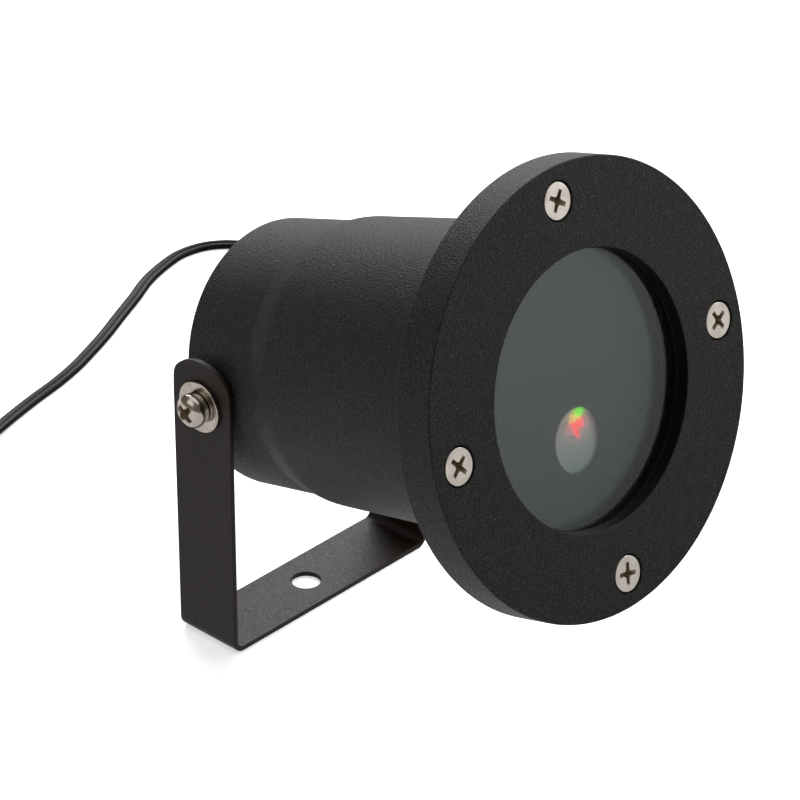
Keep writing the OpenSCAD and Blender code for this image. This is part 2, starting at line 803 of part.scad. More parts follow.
module flat_lead(route, n) {
    m = len(route);
    polyhedron(
        points = [for (i = [0:m - 1]) for (q = ring(route, i, lead_w, lead_t, n)) q],
        faces = tube_faces(m, n)
    );
}

// The lead inside the head lies with its width along X all the way
module inner_lead() {
    n = 8;
    m = len(inner_route);
    color([0.07, 0.07, 0.07]) in_head() polyhedron(
        points = [for (i = [0:m - 1])
            let (d = run_dir(inner_route, i), u = cross([1, 0, 0], d))
            for (k = [0:n - 1]) inner_route[i]
                + [1, 0, 0] * (lead_w / 2 * cos(360 * k / n)) + u * (lead_t / 2 * sin(360 * k / n))],
        faces = tube_faces(m, n)
    );
}

module lead_slot(h) {
    half = (lead_w - lead_t) / 2;
    linear_extrude(h) {
        for (s = [-1, 1]) translate([s * half, 0]) circle(d = lead_t + 2 * fit_gap);
        square([2 * half, lead_t + 2 * fit_gap], center = true);
    }
}

module gland_body() {
    color([0.08, 0.08, 0.08]) in_head() difference() {
        union() {
            translate([0, 0, rear_z - gland_in_len]) cylinder(r = gland_r, h = gland_in_len);
            translate([0, 0, gland_hex_z]) cylinder(r = gland_hex_r, h = gland_hex_t, $fn = 6);
            translate([0, 0, gland_top_z - eps]) cylinder(r = gland_top_r, h = gland_top_len + eps);
        }
        translate([0, 0, rear_z - gland_in_len - 1])
            cylinder(r = gland_bore_r, h = gland_in_len + gland_hex_t + gland_top_len + 2);
        translate([0, 0, gland_top_z]) cylinder(r = gland_seal_r + fit_gap, h = gland_top_len + 1);
    }
}

module gland_seal() {
    color([0.05, 0.05, 0.05]) in_head() difference() {
        translate([0, 0, gland_top_z]) cylinder(r = gland_seal_r, h = gland_dome_z - gland_top_z);
        translate([0, 0, gland_top_z - 1]) lead_slot(gland_dome_z - gland_top_z + 2);
    }
}

module gland_nut() {
    nut_h = gland_dome_z - gland_nut_z;
    color([0.08, 0.08, 0.08]) in_head() difference() {
        union() {
            translate([0, 0, gland_nut_z]) cylinder(r = gland_nut_r, h = nut_h, $fn = 6);
            translate([0, 0, gland_dome_z - eps]) rotate_extrude() polygon([
                [0, 0], [6.4, 0], [6.2, 1.5], [5.4, 3], [4.2, 4.1],
                [3, gland_end_z - gland_dome_z], [0, gland_end_z - gland_dome_z]
            ]);
        }
        translate([0, 0, gland_nut_z - 1]) cylinder(r = gland_top_r + fit_gap, h = nut_h + 1);
        translate([0, 0, gland_dome_z - 1]) cylinder(r = gland_bore_r, h = 8);
    }
}

module lock_nut() {
    color([0.08, 0.08, 0.08]) in_head() translate([0, 0, floor_z - lock_nut_t]) difference() {
        cylinder(r = gland_hex_r, h = lock_nut_t, $fn = 6);
        translate([0, 0, -1]) cylinder(r = gland_r + thread_gap, h = lock_nut_t + 2);
    }
}

// The bracket's shape seen from the front: half width hw, bend radius r, open at the top
module u_outline(hw, r, low) {
    tall = pivot_h + leg_end_r + 1;
    translate([-hw, low + r]) square([2 * hw, tall]);
    translate([-hw + r, low]) square([2 * (hw - r), r + eps]);
    for (s = [-1, 1]) translate([s * (hw - r), low + r]) circle(r = r);
}

module u_bracket() {
    color([0.12, 0.11, 0.1]) difference() {
        intersection() {
            rotate([90, 0, 0]) linear_extrude(strip_w, center = true) difference() {
                u_outline(leg_out, bend_r + strip_t, 0);
                u_outline(leg_in, bend_r, strip_t);
            }
            rotate([90, 0, 90]) linear_extrude(2 * leg_out + 2, center = true) union() {
                translate([-strip_w / 2, -1]) square([strip_w, pivot_h + 1]);
                intersection() {
                    translate([0, pivot_h]) circle(r = leg_end_r);
                    translate([-strip_w / 2, pivot_h - 1]) square([strip_w, 2 * leg_end_r]);
                }
            }
        }
        translate([0, 0, -1]) cylinder(d = bolt_hole_d, h = strip_t + 2);
        translate([-leg_out - 1, 0, pivot_h]) rotate([0, 90, 0])
            cylinder(r = pivot_screw_r + run_gap, h = 2 * leg_out + 2);
    }
}

module on_both_legs() {
    for (s = [0, 1]) mirror([s, 0, 0]) translate([0, 0, pivot_h]) rotate([-head_tilt, 0, 0])
        rotate([0, 90, 0]) children();
}

module pivot_screws() {
    dome_r = pivot_head_d * 0.75;
    color([0.75, 0.73, 0.7]) on_both_legs() difference() {
        union() {
            translate([0, 0, pivot_tip_x]) cylinder(r = pivot_screw_r, h = pivot_screw_len + eps);
            intersection() {
                translate([0, 0, pivot_head_x]) cylinder(d = pivot_head_d, h = pivot_head_h);
                translate([0, 0, pivot_head_x + pivot_head_h - dome_r]) sphere(r = dome_r);
            }
        }
        translate([0, 0, pivot_head_x + pivot_head_h]) mirror([0, 0, 1])
            cross_recess(pivot_head_d * 0.55, 1.5);
    }
}

module flat_washers() {
    color([0.78, 0.76, 0.73]) on_both_legs()
        ring_of(washer_d / 2, pivot_screw_r + fit_gap, leg_out, washer_t);
}

module spring_washers() {
    color([0.7, 0.68, 0.66]) on_both_legs() difference() {
        ring_of(spring_washer_d / 2, pivot_screw_r + fit_gap, spring_x, spring_washer_t);
        translate([0, -0.3, spring_x - 1]) rotate([18, 0, 0]) cube([10, 0.6, 4]);
    }
}

module cord_lead() {
    color([0.05, 0.05, 0.05]) flat_lead(lead_route, 8);
}

// Least distance between the coil's own rings, on their points, leaving out each ring's next few
function coil_gap() =
    let (
        m = len(coil_path),
        rings = [for (i = [0:m - 1]) ring(coil_path, i, lead_w, lead_t, coil_sides)]
    )
    min([for (i = [0:m - 1]) for (j = [i + coil_rings - 3:coil_rings:m - 1])
        for (k = [max(j, i + 12):min(j + 6, m - 1)]) for (a = rings[i]) for (b = rings[k])
            norm(a - b)]);

module cord_coil() {
    echo(least_gap_of_the_coil = coil_gap());
    color([0.05, 0.05, 0.05]) flat_lead(coil_path, coil_sides);
}

module cord_ties() {
    low_r = coil_in_r - lead_w / 2 - 0.4;
    span = coil_out_r + lead_w / 2 + 0.4 - low_r;
    rise = coil_high + lead_t / 2 + 0.2 - tie_t;
    color([0.8, 0.8, 0.78]) for (a = [15, 195]) translate(coil_centre) rotate([0, 0, a])
        translate([low_r - tie_t, -tie_w / 2, 0]) difference() {
            cube([span + 2 * tie_t, tie_w, rise + 2 * tie_t]);
            translate([tie_t, -1, tie_t]) cube([span, tie_w + 2, rise]);
        }
}

module cord_tail() {
    color([0.05, 0.05, 0.05]) flat_lead(tail_route, 8);
}

// Shapes along +Z from the tail's end, laid level along the tail
module at_plug() {
    translate(plug_at) rotate([0, 90, plug_bearing]) children();
}

module plug_body() {
    color([0.06, 0.06, 0.06]) at_plug() rotate_extrude() polygon([
        [0, 0], [plug_neck_r, 0], [plug_neck_r + 0.6, plug_neck_len], [plug_r - 0.7, plug_neck_len],
        [plug_r, plug_neck_len + 1], [plug_r, plug_len - 1], [plug_r - 0.7, plug_len], [0, plug_len]
    ]);
}

module plug_barrel() {
    color([0.78, 0.77, 0.75]) at_plug()
        ring_of(plug_barrel_r, plug_barrel_r - plug_wall, plug_len, plug_barrel_len);
}

module plug_core() {
    color([0.1, 0.1, 0.1]) at_plug()
        ring_of(plug_barrel_r - plug_wall - press_gap, plug_pin_r, plug_len, plug_barrel_len - 0.5);
}

front_bezel();
bezel_screws();
bezel_seal();
front_gasket();
window_glass();
rear_gasket();
aperture_mask();
grating_film();
housing();
optics_plate();
plate_screws();
gearbox();
motor_can();
motor_screws();
motor_shaft();
wheel_hub();
grating_disc();
laser_block();
block_screws();
green_laser();
red_laser();
laser_lenses();
fold_mirror();
dichroic_filter();
driver_board();
board_pillars();
board_screws();
capacitors();
inductor();
chips();
wire_headers();
supply_terminal();
motor_leads();
laser_leads();
inner_lead();
gland_body();
gland_seal();
gland_nut();
lock_nut();
u_bracket();
pivot_screws();
flat_washers();
spring_washers();
cord_lead();
cord_coil();
cord_ties();
cord_tail();
plug_body();
plug_barrel();
plug_core();
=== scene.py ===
"""The looks of a laser show projector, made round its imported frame.

The head is a powder-coated die casting with a round window, it tilts in a painted U bracket,
and a flat twin lead leaves it at the back. Lengths in the code are millimetres until mm() turns
them to metres. The head's own pieces are drawn in its local frame: x to the side, y down and
z the depth behind the bezel's front face.
"""
import json
import logging
import math
from dataclasses import dataclass, field
from enum import Enum
from typing import Callable, Sequence

import bmesh
import bpy
import numpy as np
from mathutils import Matrix, Vector


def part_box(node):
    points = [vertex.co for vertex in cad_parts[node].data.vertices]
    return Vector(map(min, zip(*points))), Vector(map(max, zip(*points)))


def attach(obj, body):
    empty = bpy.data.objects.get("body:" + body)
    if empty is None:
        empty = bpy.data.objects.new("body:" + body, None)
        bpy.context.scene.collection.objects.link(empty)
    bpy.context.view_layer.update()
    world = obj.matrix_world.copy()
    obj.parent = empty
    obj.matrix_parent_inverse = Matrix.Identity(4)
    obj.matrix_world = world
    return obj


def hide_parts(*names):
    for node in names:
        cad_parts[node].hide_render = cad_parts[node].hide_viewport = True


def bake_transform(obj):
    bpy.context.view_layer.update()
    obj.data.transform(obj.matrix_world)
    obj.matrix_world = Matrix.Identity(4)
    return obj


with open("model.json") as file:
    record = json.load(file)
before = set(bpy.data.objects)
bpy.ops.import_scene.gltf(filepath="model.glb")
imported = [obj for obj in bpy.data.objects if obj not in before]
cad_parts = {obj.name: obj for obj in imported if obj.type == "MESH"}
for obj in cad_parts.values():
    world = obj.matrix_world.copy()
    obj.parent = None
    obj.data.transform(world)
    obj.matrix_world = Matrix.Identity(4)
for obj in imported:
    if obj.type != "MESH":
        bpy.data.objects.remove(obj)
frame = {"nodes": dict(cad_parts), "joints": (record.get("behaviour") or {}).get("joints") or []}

LOG = logging.getLogger("projector")
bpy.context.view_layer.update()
MM = 0.001
SHARP_DEG = 35.0
Array = np.ndarray
Piece = bpy.types.Object
Tree = bpy.types.NodeTree
Socket = bpy.types.NodeSocket
Place = tuple[float, float, float]
Profile = Sequence[tuple[float, float, float]]


class Body(Enum):
    """The bodies that the new pieces ride on. The wheel's own pieces stay CAD nodes."""

    BRACKET = "bracket"
    HEAD = "head"


def mm(points: Array) -> Array:
    """Returns points given in millimetres as metres."""
    return np.asarray(points, float) * MM


def unit(vectors: Array) -> Array:
    """Returns the vectors, one a row, at length one."""
    vectors = np.asarray(vectors, float)
    return vectors / np.linalg.norm(vectors, axis=-1, keepdims=True)


def joint(name: str) -> dict:
    """Returns the frame's joint of that name."""
    return next(j for j in frame["joints"] if j["name"] == name)


@dataclass
class Head:
    """The head's local frame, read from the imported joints.

    The wheel turns on the head's own axis, so its joint gives the direction of depth, and the
    tilt joint gives the pivot. The pivot's depth follows from where the bezel's front lies.
    """

    pivot: Array = field(default_factory=lambda: np.array(joint("head_tilt")["pos_m"]) / MM)
    depth: Array = field(default_factory=lambda: unit(joint("wheel_spin")["axis"]))
    side: Array = field(default_factory=lambda: np.array([1.0, 0.0, 0.0]))

    def __post_init__(self) -> None:
        """Works out the downward axis and the depth of the pivot."""
        self.down = np.cross(self.depth, self.side)
        self.pivot_depth = -self.reach("front_bezel")[0]

    def arms(self, node: str) -> Array:
        """Returns the points of a CAD node measured from the pivot, in millimetres."""
        return np.array([v.co for v in frame["nodes"][node].data.vertices]) / MM - self.pivot

    def reach(self, node: str) -> tuple[float, float]:
        """Returns a CAD node's least and greatest depth, in millimetres behind the pivot."""
        along = self.arms(node) @ self.depth
        return float(along.min()), float(along.max())

    def span(self, node: str) -> tuple[float, float]:
        """Returns the depths of a node's front and back ends behind the bezel's front face."""
        near, far = self.reach(node)
        return self.pivot_depth + near, self.pivot_depth + far

    def radius(self, node: str) -> float:
        """Returns how far a node reaches from the head's axis."""
        arms = self.arms(node)
        across = arms - np.outer(arms @ self.depth, self.depth)
        return float(np.linalg.norm(across, axis=1).max())

    def off_axis(self, point: Vector) -> float:
        """Returns how far a point, in metres, lies from the head's axis, in millimetres."""
        arm = np.array(point) / MM - self.pivot
        return float(np.linalg.norm(arm - (arm @ self.depth) * self.depth))

    def place(self, local: Array) -> Array:
        """Turns local points to points of the row frame, both in millimetres."""
        local = np.asarray(local, float)
        shifted = local - np.array([0.0, 0.0, self.pivot_depth])
        return self.pivot + shifted @ np.stack([self.side, self.down, self.depth])


HEAD = Head()


# Surfaces

def grid_faces(rows: int, cols: int, wrap_rows: bool, wrap_cols: bool) -> Array:
    """Joins a grid of points into quads.

    Args:
        rows: Points along the first parameter.
        cols: Points along the second parameter.
        wrap_rows: Whether the last row meets the first.
        wrap_cols: Whether the last column meets the first.

    Returns:
        One row of four point numbers for each quad.
    """
    i = np.arange(rows if wrap_rows else rows - 1)[:, None]
    j = np.arange(cols if wrap_cols else cols - 1)[None, :]
    a, b = i * cols + j, i * cols + (j + 1) % cols
    c, d = ((i + 1) % rows) * cols + (j + 1) % cols, ((i + 1) % rows) * cols + j
    return np.stack([a, b, c, d], axis=-1).reshape(-1, 4)


def make_mesh(name: str, points: Array, faces: Array, sharp_deg: float = SHARP_DEG) -> Piece:
    """Makes a closed, outward-facing mesh object from points in metres.

    Args:
        name: The piece's name.
        points: One point a row.
        faces: One face a row, as point numbers.
        sharp_deg: Edges that turn more than this stay sharp.

    Returns:
        The object, linked to the scene. Its doubles are merged at poles and seams, loose edges
        are gone and open ends are filled.
    """
    merge_dist, least_edge = 1e-6, 1e-7
    mesh = bpy.data.meshes.new(name)
    mesh.from_pydata(np.asarray(points).tolist(), [], np.asarray(faces).tolist())
    tidy = bmesh.new()
    tidy.from_mesh(mesh)
    bmesh.ops.remove_doubles(tidy, verts=tidy.verts, dist=merge_dist)
    bmesh.ops.dissolve_degenerate(tidy, edges=tidy.edges, dist=least_edge)
    bmesh.ops.delete(tidy, geom=[e for e in tidy.edges if e.is_wire], context="EDGES")
    bmesh.ops.holes_fill(tidy, edges=[e for e in tidy.edges if e.is_boundary], sides=0)
    bmesh.ops.recalc_face_normals(tidy, faces=tidy.faces)
    tidy.to_mesh(mesh)
    tidy.free()
    return link_mesh(name, mesh, sharp_deg)


def link_object(name: str, data: bpy.types.ID) -> Piece:
    """Puts a mesh, a light or a camera in the scene as an object."""
    made = bpy.data.objects.new(name, data)
    bpy.context.scene.collection.objects.link(made)
    return made


def link_mesh(name: str, mesh: bpy.types.Mesh, sharp_deg: float = SHARP_DEG) -> Piece:
    """Puts a mesh in the scene as an object and shades it."""
    piece = link_object(name, mesh)
    smooth(piece, sharp_deg)
    return piece


def smooth(piece: Piece, sharp_deg: float = SHARP_DEG) -> None:
    """Shades a piece smooth but for its edges sharper than an angle."""
    piece.data.shade_smooth()
    piece.data.set_sharp_from_angle(angle=math.radians(sharp_deg))


def sheet(name: str, grid: Array, wrap_rows: bool, wrap_cols: bool,
          sharp_deg: float = SHARP_DEG) -> Piece:
    """Makes an object from a grid of points in millimetres, rows by columns by three."""
    rows, cols = grid.shape[:2]
    faces = grid_faces(rows, cols, wrap_rows, wrap_cols)
    return make_mesh(name, mm(grid.reshape(-1, 3)), faces, sharp_deg)


def capped(grid: Array) -> Array:
    """Returns a grid with one more row at each end, all of it at that end row's middle."""
    middles = [np.repeat(grid[k].mean(0)[None, None, :], grid.shape[1], axis=1) for k in (0, -1)]
    return np.concatenate([middles[0], grid, middles[1]])


def join(name: str, parts: Sequence[Piece]) -> Piece:
    """Joins several mesh objects with the same materials into one new piece and removes them."""
    points, faces, kinds = [], [], []
    materials = list(parts[0].data.materials)
    for part in parts:
        start = len(points)
        points += [tuple(v.co) for v in part.data.vertices]
        faces += [[start + k for k in p.vertices] for p in part.data.polygons]
        kinds += [p.material_index for p in part.data.polygons]
        bpy.data.objects.remove(part)
    mesh = bpy.data.meshes.new(name)
    mesh.from_pydata(points, [], faces)
    for material in materials:
        mesh.materials.append(material)
    mesh.polygons.foreach_set("material_index", kinds)
    return link_mesh(name, mesh)


def fillet(profile: Profile, steps: int = 6) -> Array:
    """Rounds the corners of a closed outline.

    Each corner is (radius, depth, fillet). An arc replaces the corner: with half the corner's
    angle h, it starts fillet / tan(h) before the corner and its centre lies fillet / sin(h) from
    it on the bisector. The arc's points turn evenly round that centre.

    Args:
        profile: The outline's corners in order.
        steps: Pieces of each arc.

    Returns:
        One point a row.
    """
    nearly_straight = math.radians(89.5)
    corners = np.array([p[:2] for p in profile], float)
    out = []
    for k, (_, _, r) in enumerate(profile):
        here = corners[k]
        a, b = unit(corners[k - 1] - here), unit(corners[(k + 1) % len(corners)] - here)
        half = math.acos(np.clip(a @ b, -1, 1)) / 2
        if r <= 0 or half > nearly_straight:
            out.append(here)
            continue
        centre = here + unit(a + b) * r / math.sin(half)
        first, last = here + a * r / math.tan(half) - centre, here + b * r / math.tan(half) - centre
        sweep = math.atan2(first[0] * last[1] - first[1] * last[0], first @ last)
        turn = np.linspace(0, sweep, steps + 1)[:, None]
        across = np.array([-first[1], first[0]])
        out.extend(centre + first * np.cos(turn) + across * np.sin(turn))
    return np.array(out)


def lathe(outline: Array, segments: int = 192, centre: tuple[float, float] = (0.0, 0.0),
          start: float = 0.0) -> Array:
    """Turns an outline of (radius, depth) rows round the depth axis.

    Args:
        outline: The points of the outline.
        segments: Steps round the axis.
        centre: Where the axis crosses the local x and y.
        start: The first step's angle, in radians.

    Returns:
        A grid of local points: (radius cos a, radius sin a, depth) for each row and angle a.
    """
    a = start + np.linspace(0, 2 * np.pi, segments, endpoint=False)[None, :]
    r, z = outline[:, 0][:, None], outline[:, 1][:, None]
    return np.stack([centre[0] + r * np.cos(a), centre[1] + r * np.sin(a), z + 0 * a], axis=-1)


def turned(name: str, profile: Profile, segments: int = 192, steps: int = 6,
           centre: tuple[float, float] = (0.0, 0.0), start: float = 0.0) -> Piece:
    """Makes a turned piece of the head from a closed profile with fillets."""
    grid = HEAD.place(lathe(fillet(profile, steps), segments, centre, start))
    return sheet(name, grid, True, True)


def disc_profile(radius: float, start: float, end: float, edge: float) -> Profile:
    """Returns the profile of a solid disc between two depths, with rounded edges."""
    return [(0, start, 0), (radius, start, edge), (radius, end, edge), (0, end, 0)]


def ring_profile(outer: float, inner: float, start: float, end: float, edge: float) -> Profile:
    """Returns the profile of a ring between two depths, with rounded edges."""
    return [(inner, start, edge), (outer, start, edge), (outer, end, edge), (inner, end, edge)]


def cut(piece: Piece, cutters: Sequence[Piece]) -> None:
    """Cuts solids out of a piece one by one, and removes the cutters."""
    for cutter in cutters:
        modifier = piece.modifiers.new("cut", "BOOLEAN")
        modifier.object = cutter
        modifier.operation = "DIFFERENCE"
        modifier.solver = "EXACT"
        apply_modifiers(piece)
        bpy.data.objects.remove(cutter)
    smooth(piece)


def apply_modifiers(piece: Piece) -> None:
    """Replaces a piece's mesh with what its modifiers make of it."""
    bpy.context.view_layer.update()
    graph = bpy.context.evaluated_depsgraph_get()
    mesh = bpy.data.meshes.new_from_object(piece.evaluated_get(graph))
    piece.modifiers.clear()
    piece.data = mesh


# Materials

def linear(hex_colour: str) -> tuple[float, float, float, float]:
    """Turns an sRGB hex colour such as "#2b2927" to a linear one with alpha."""
    parts = [int(hex_colour[i:i + 2], 16) / 255 for i in (1, 3, 5)]
    return (*(c / 12.92 if c <= 0.04045 else ((c + 0.055) / 1.055) ** 2.4 for c in parts), 1.0)


def add(tree: Tree, kind: str, inputs: dict | None = None, **settings: object) -> bpy.types.Node:
    """Adds a node.

    Args:
        tree: The material's node tree.
        kind: The node's type.
        inputs: Values or sockets for its inputs, by name or number. A socket is linked.
        settings: The node's own attributes.

    Returns:
        The node.
    """
    node = tree.nodes.new(kind)
    for key, value in settings.items():
        setattr(node, key, value)
    for key, value in (inputs or {}).items():
        if isinstance(value, bpy.types.NodeSocket):
            tree.links.new(value, node.inputs[key])
        else:
            node.inputs[key].default_value = value
    return node


def ramp(tree: Tree, factor: Socket, low: tuple[float, tuple], high: tuple[float, tuple]) -> Socket:
    """Adds a colour ramp between two stops, each a place and a colour, and returns its colour."""
    node = add(tree, "ShaderNodeValToRGB", {"Fac": factor})
    for element, stop in zip(node.color_ramp.elements, (low, high)):
        element.position, element.color = stop
    return node.outputs["Color"]


def blend_colours(tree: Tree, factor: Socket, first: object, second: object) -> Socket:
    """Mixes two colours or colour sockets by a factor and returns the result."""
    node = add(tree, "ShaderNodeMix", {"Factor": factor, "A": first, "B": second}, data_type="RGBA")
    return node.outputs["Result"]


def mix_shaders(tree: Tree, factor: Socket, first: Socket, second: Socket) -> Socket:
    """Mixes two shaders by a factor and returns the result."""
    return add(tree, "ShaderNodeMixShader", {0: factor, 1: first, 2: second}).outputs["Shader"]


def calculate(tree: Tree, operation: str, *values: Socket | float) -> Socket:
    """Returns the result of a maths operation on sockets and numbers."""
    return add(tree, "ShaderNodeMath", dict(enumerate(values)), operation=operation).outputs["Value"]


def remap(tree: Tree, value: Socket, given: tuple[float, float], wanted: tuple[float, float] = (0.0, 1.0),
          **settings: object) -> Socket:
    """Maps a value from the given range to the wanted one, and holds it within that."""
    node = add(tree, "ShaderNodeMapRange", {
        "Value": value, "From Min": given[0], "From Max": given[1],
        "To Min": wanted[0], "To Max": wanted[1]}, **settings)
    return node.outputs["Result"]


def uneven(tree: Tree, grain: Socket, middle: float, spread: float) -> Socket:
    """Returns a roughness from middle - spread to middle + spread, over most of a grain's range."""
    return remap(tree, grain, (0.3, 0.7), (middle - spread, middle + spread))


def raised(tree: Tree, grain: Socket, height_mm: float, strength: float) -> Socket:
    """Returns a normal that a grain lifts by up to height_mm."""
    node = add(tree, "ShaderNodeBump", {
        "Strength": strength, "Distance": height_mm * MM, "Height": grain})
    return node.outputs["Normal"]


def noise(tree: Tree, place: Socket, size_mm: float, detail: float, **inputs: float) -> Socket:
    """Returns a noise whose cells are size_mm wide."""
    node = add(tree, "ShaderNodeTexNoise", {
        "Vector": place, "Scale": per_metre(size_mm), "Detail": detail, **inputs})
    return node.outputs["Fac"]


def start_material(name: str) -> tuple[bpy.types.Material, Tree, Socket]:
    """Makes an empty node material, and returns it, its tree and its object coordinates."""
    material = bpy.data.materials.new(name)
    material.use_nodes = True
    material.node_tree.nodes.clear()
    place = add(material.node_tree, "ShaderNodeTexCoord").outputs["Object"]
    return material, material.node_tree, place


def end_material(tree: Tree, shader: Socket) -> None:
    """Links a shader to the material's output."""
    add(tree, "ShaderNodeOutputMaterial", {"Surface": shader})


def per_metre(size_mm: float) -> float:
    """Returns the texture scale at which one cell of a noise is size_mm wide."""
    return 1 / (size_mm * MM)


@dataclass(frozen=True)
class Finish:
    """A named finish. Each kind of finish makes its own shader."""

    name: str

    def surface(self, tree: Tree, place: Socket) -> Socket:
        """Adds the nodes of the finish.

        Args:
            tree: The material's node tree.
            place: The object coordinates.

        Returns:
            The shader.
        """
        raise NotImplementedError

    def build(self) -> bpy.types.Material:
        """Makes the material."""
        material, tree, place = start_material(self.name)
        end_material(tree, self.surface(tree, place))
        return material


@dataclass(frozen=True)
class Coating(Finish):
    """A sprayed or baked coat: powder coat, wet paint or a satin lacquer.

    The grain is a noise of the given size that lifts the surface and breaks the gloss up. The
    colour drifts a little over large patches, as a baked coat's does, and a coat with a glint
    speck colour shows it on the crests of a finer noise: pale specks painted as glints.
    """

    colour: str
    drift: str
    grain_mm: float
    height_mm: float
    roughness: float
    spread: float
    glint_speck: str = ""
    gloss: float = 0.5
    patch_mm: float = 24.0
    crest_share: float = 0.65
    crest_from: float = 0.56
    crest_to: float = 0.72

    def surface(self, tree: Tree, place: Socket) -> Socket:
        """Adds the nodes of the finish and returns its shader."""
        grain = noise(tree, place, self.grain_mm, 3.0, Roughness=0.6)
        patch = noise(tree, place, self.patch_mm, 2.0)
        colour = blend_colours(tree, patch, linear(self.colour), linear(self.drift))
        # Pale specks on the crests of a finer noise: painted glints.
        if self.glint_speck:
            crest = noise(tree, place, self.grain_mm * self.crest_share, 1.0)
            dots = ramp(tree, crest, (self.crest_from, (0, 0, 0, 1)), (self.crest_to, (1, 1, 1, 1)))
            colour = blend_colours(tree, dots, colour, linear(self.glint_speck))
        shader = add(tree, "ShaderNodeBsdfPrincipled", {
            "Base Color": colour, "Roughness": uneven(tree, grain, self.roughness, self.spread),
            "Normal": raised(tree, grain, self.height_mm, 1.0),
            "IOR": 1.5, "Specular IOR Level": self.gloss})
        return shader.outputs["BSDF"]


@dataclass(frozen=True)
class Metal(Finish):
    """A bare or plated metal with fine scratches or a matt tumbled skin."""

    colour: str
    tarnish: str
    roughness: float
    spread: float
    grain_mm: float = 0.4
    height_mm: float = 0.004
    cloud_mm: float = 3.5
    tarnish_from: float = 0.4
    tarnish_to: float = 0.7

    def surface(self, tree: Tree, place: Socket) -> Socket:
        """Adds the nodes of the finish and returns its shader."""
        grain = noise(tree, place, self.grain_mm, 4.0, Roughness=0.65)
        cloud = noise(tree, place, self.cloud_mm, 2.0)
        tint = ramp(tree, cloud, (self.tarnish_from, linear(self.colour)),
                    (self.tarnish_to, linear(self.tarnish)))
        shader = add(tree, "ShaderNodeBsdfPrincipled", {
            "Base Color": tint, "Metallic": 1.0,
            "Roughness": uneven(tree, grain, self.roughness, self.spread),
            "Normal": raised(tree, grain, self.height_mm, 0.6)})
        return shader.outputs["BSDF"]


@dataclass(frozen=True)
class Moulding(Finish):
    """Moulded plastic or rubber: an even colour with a faint cloud, and a satin skin."""

    colour: str
    cloud: str
    roughness: float
    height_mm: float = 0.01
    grain_mm: float = 0.5
    gloss: float = 0.5
    cloud_mm: float = 9.0
    spread: float = 0.05

    def surface(self, tree: Tree, place: Socket) -> Socket:
        """Adds the nodes of the finish and returns its shader."""
        grain = noise(tree, place, self.grain_mm, 3.0)
        drift = noise(tree, place, self.cloud_mm, 1.0)
        shader = add(tree, "ShaderNodeBsdfPrincipled", {
            "Base Color": blend_colours(tree, drift, linear(self.colour), linear(self.cloud)),
            "Roughness": uneven(tree, grain, self.roughness, self.spread),
            "Normal": raised(tree, grain, self.height_mm, 0.5),
            "IOR": 1.5, "Specular IOR Level": self.gloss})
        return shader.outputs["BSDF"]


@dataclass(frozen=True)
class Pane(Finish):
    """Clear glass that bends what is seen through it, and lets lamps and scattered light pass."""

    colour: str
    ior: float
    roughness: float
    sheen: str = "#ffffff"
    smear_mm: float = 14.0
    smear_share: float = 0.1

    def surface(self, tree: Tree, place: Socket) -> Socket:
        """Adds the nodes: clear to shadow and diffuse rays, and glass to all others."""
        smear = noise(tree, place, self.smear_mm, 2.0, Distortion=0.6)
        rough = remap(tree, smear, (0.0, 1.0), (self.roughness * (1 - self.smear_share),
                                                self.roughness * (1 + self.smear_share)))
        glass = add(tree, "ShaderNodeBsdfPrincipled", {
            "Base Color": linear(self.colour), "Roughness": rough, "IOR": self.ior,
            "Transmission Weight": 1.0, "Specular Tint": linear(self.sheen)})
        clear = add(tree, "ShaderNodeBsdfTransparent", {"Color": linear(self.colour)})
        path = add(tree, "ShaderNodeLightPath")
        passes = calculate(tree, "MAXIMUM", path.outputs["Is Shadow Ray"], path.outputs["Is Diffuse Ray"])
        return mix_shaders(tree, passes, glass.outputs["BSDF"], clear.outputs["BSDF"])


# Baked black powder coat on die-cast aluminium: a fine even orange peel that scatters
# highlights, with paler crests that are painted glints.
POWDER_COAT = Coating("baked_powder_coat", "#0e0e0e", "#121211", 0.45, 0.22, 0.46, 0.12, "#403f3d", 0.17)
# Black stoving paint on bent steel strip: smoother than powder coat, a soft brown-black.
STRIP_PAINT = Coating("stoved_strip_paint", "#150d08", "#1a110b", 0.5, 0.04, 0.5, 0.08, "", 0.22)
# Dull nickel on barrel-plated steel screws: pale, warm and matt.
DULL_NICKEL = Metal("barrel_plated_nickel", "#d9d3cb", "#c9c0b6", 0.38, 0.08)
# Bright nickel on pressed washers and rolled pan heads: sharp dark and light reflections.
BRIGHT_NICKEL = Metal("bright_plated_nickel", "#b4aca3", "#9c938a", 0.22, 0.04)
# The same nickel, darker and browner down in a driver's recess: painted shade of the recess.
RECESS_SHADE = Metal("painted_recess_shade", "#a89880", "#716452", 0.6, 0.1)
# Polished float glass: clear, faint green, with a thin pale reflection.
FLOAT_GLASS = Pane("float_glass", "#f2faf9", 1.5, 0.14, "#dde2e8")
# Nitrile rubber: blue-black, with a low sheen.
NITRILE = Moulding("nitrile_rubber", "#0d0e12", "#14151b", 0.42)
# Painted shade on the wall of the window's opening: a black darker than the coat, dull.
BORE_SHADE = Coating("painted_bore_shade", "#050607", "#07080a", 0.6, 0.001, 0.5, 0.05, "", 0.08)
# Satin dark lacquer on the thin mask plate: grey-green and very even.
MASK_LACQUER = Coating("satin_mask_lacquer", "#101613", "#121815", 0.6, 0.0005, 0.45, 0.04, "", 0.1)
# Vinyl insulation on flat twin flex: near black, with a soft polish from the extruder.
VINYL = Moulding("extruded_vinyl", "#08080a", "#0c0c0e", 0.3, 0.004, 1.2, 0.07)
# Moulded black nylon: satin, a touch paler than the vinyl.
NYLON = Moulding("moulded_nylon", "#1b1b1c", "#202021", 0.45, 0.012)
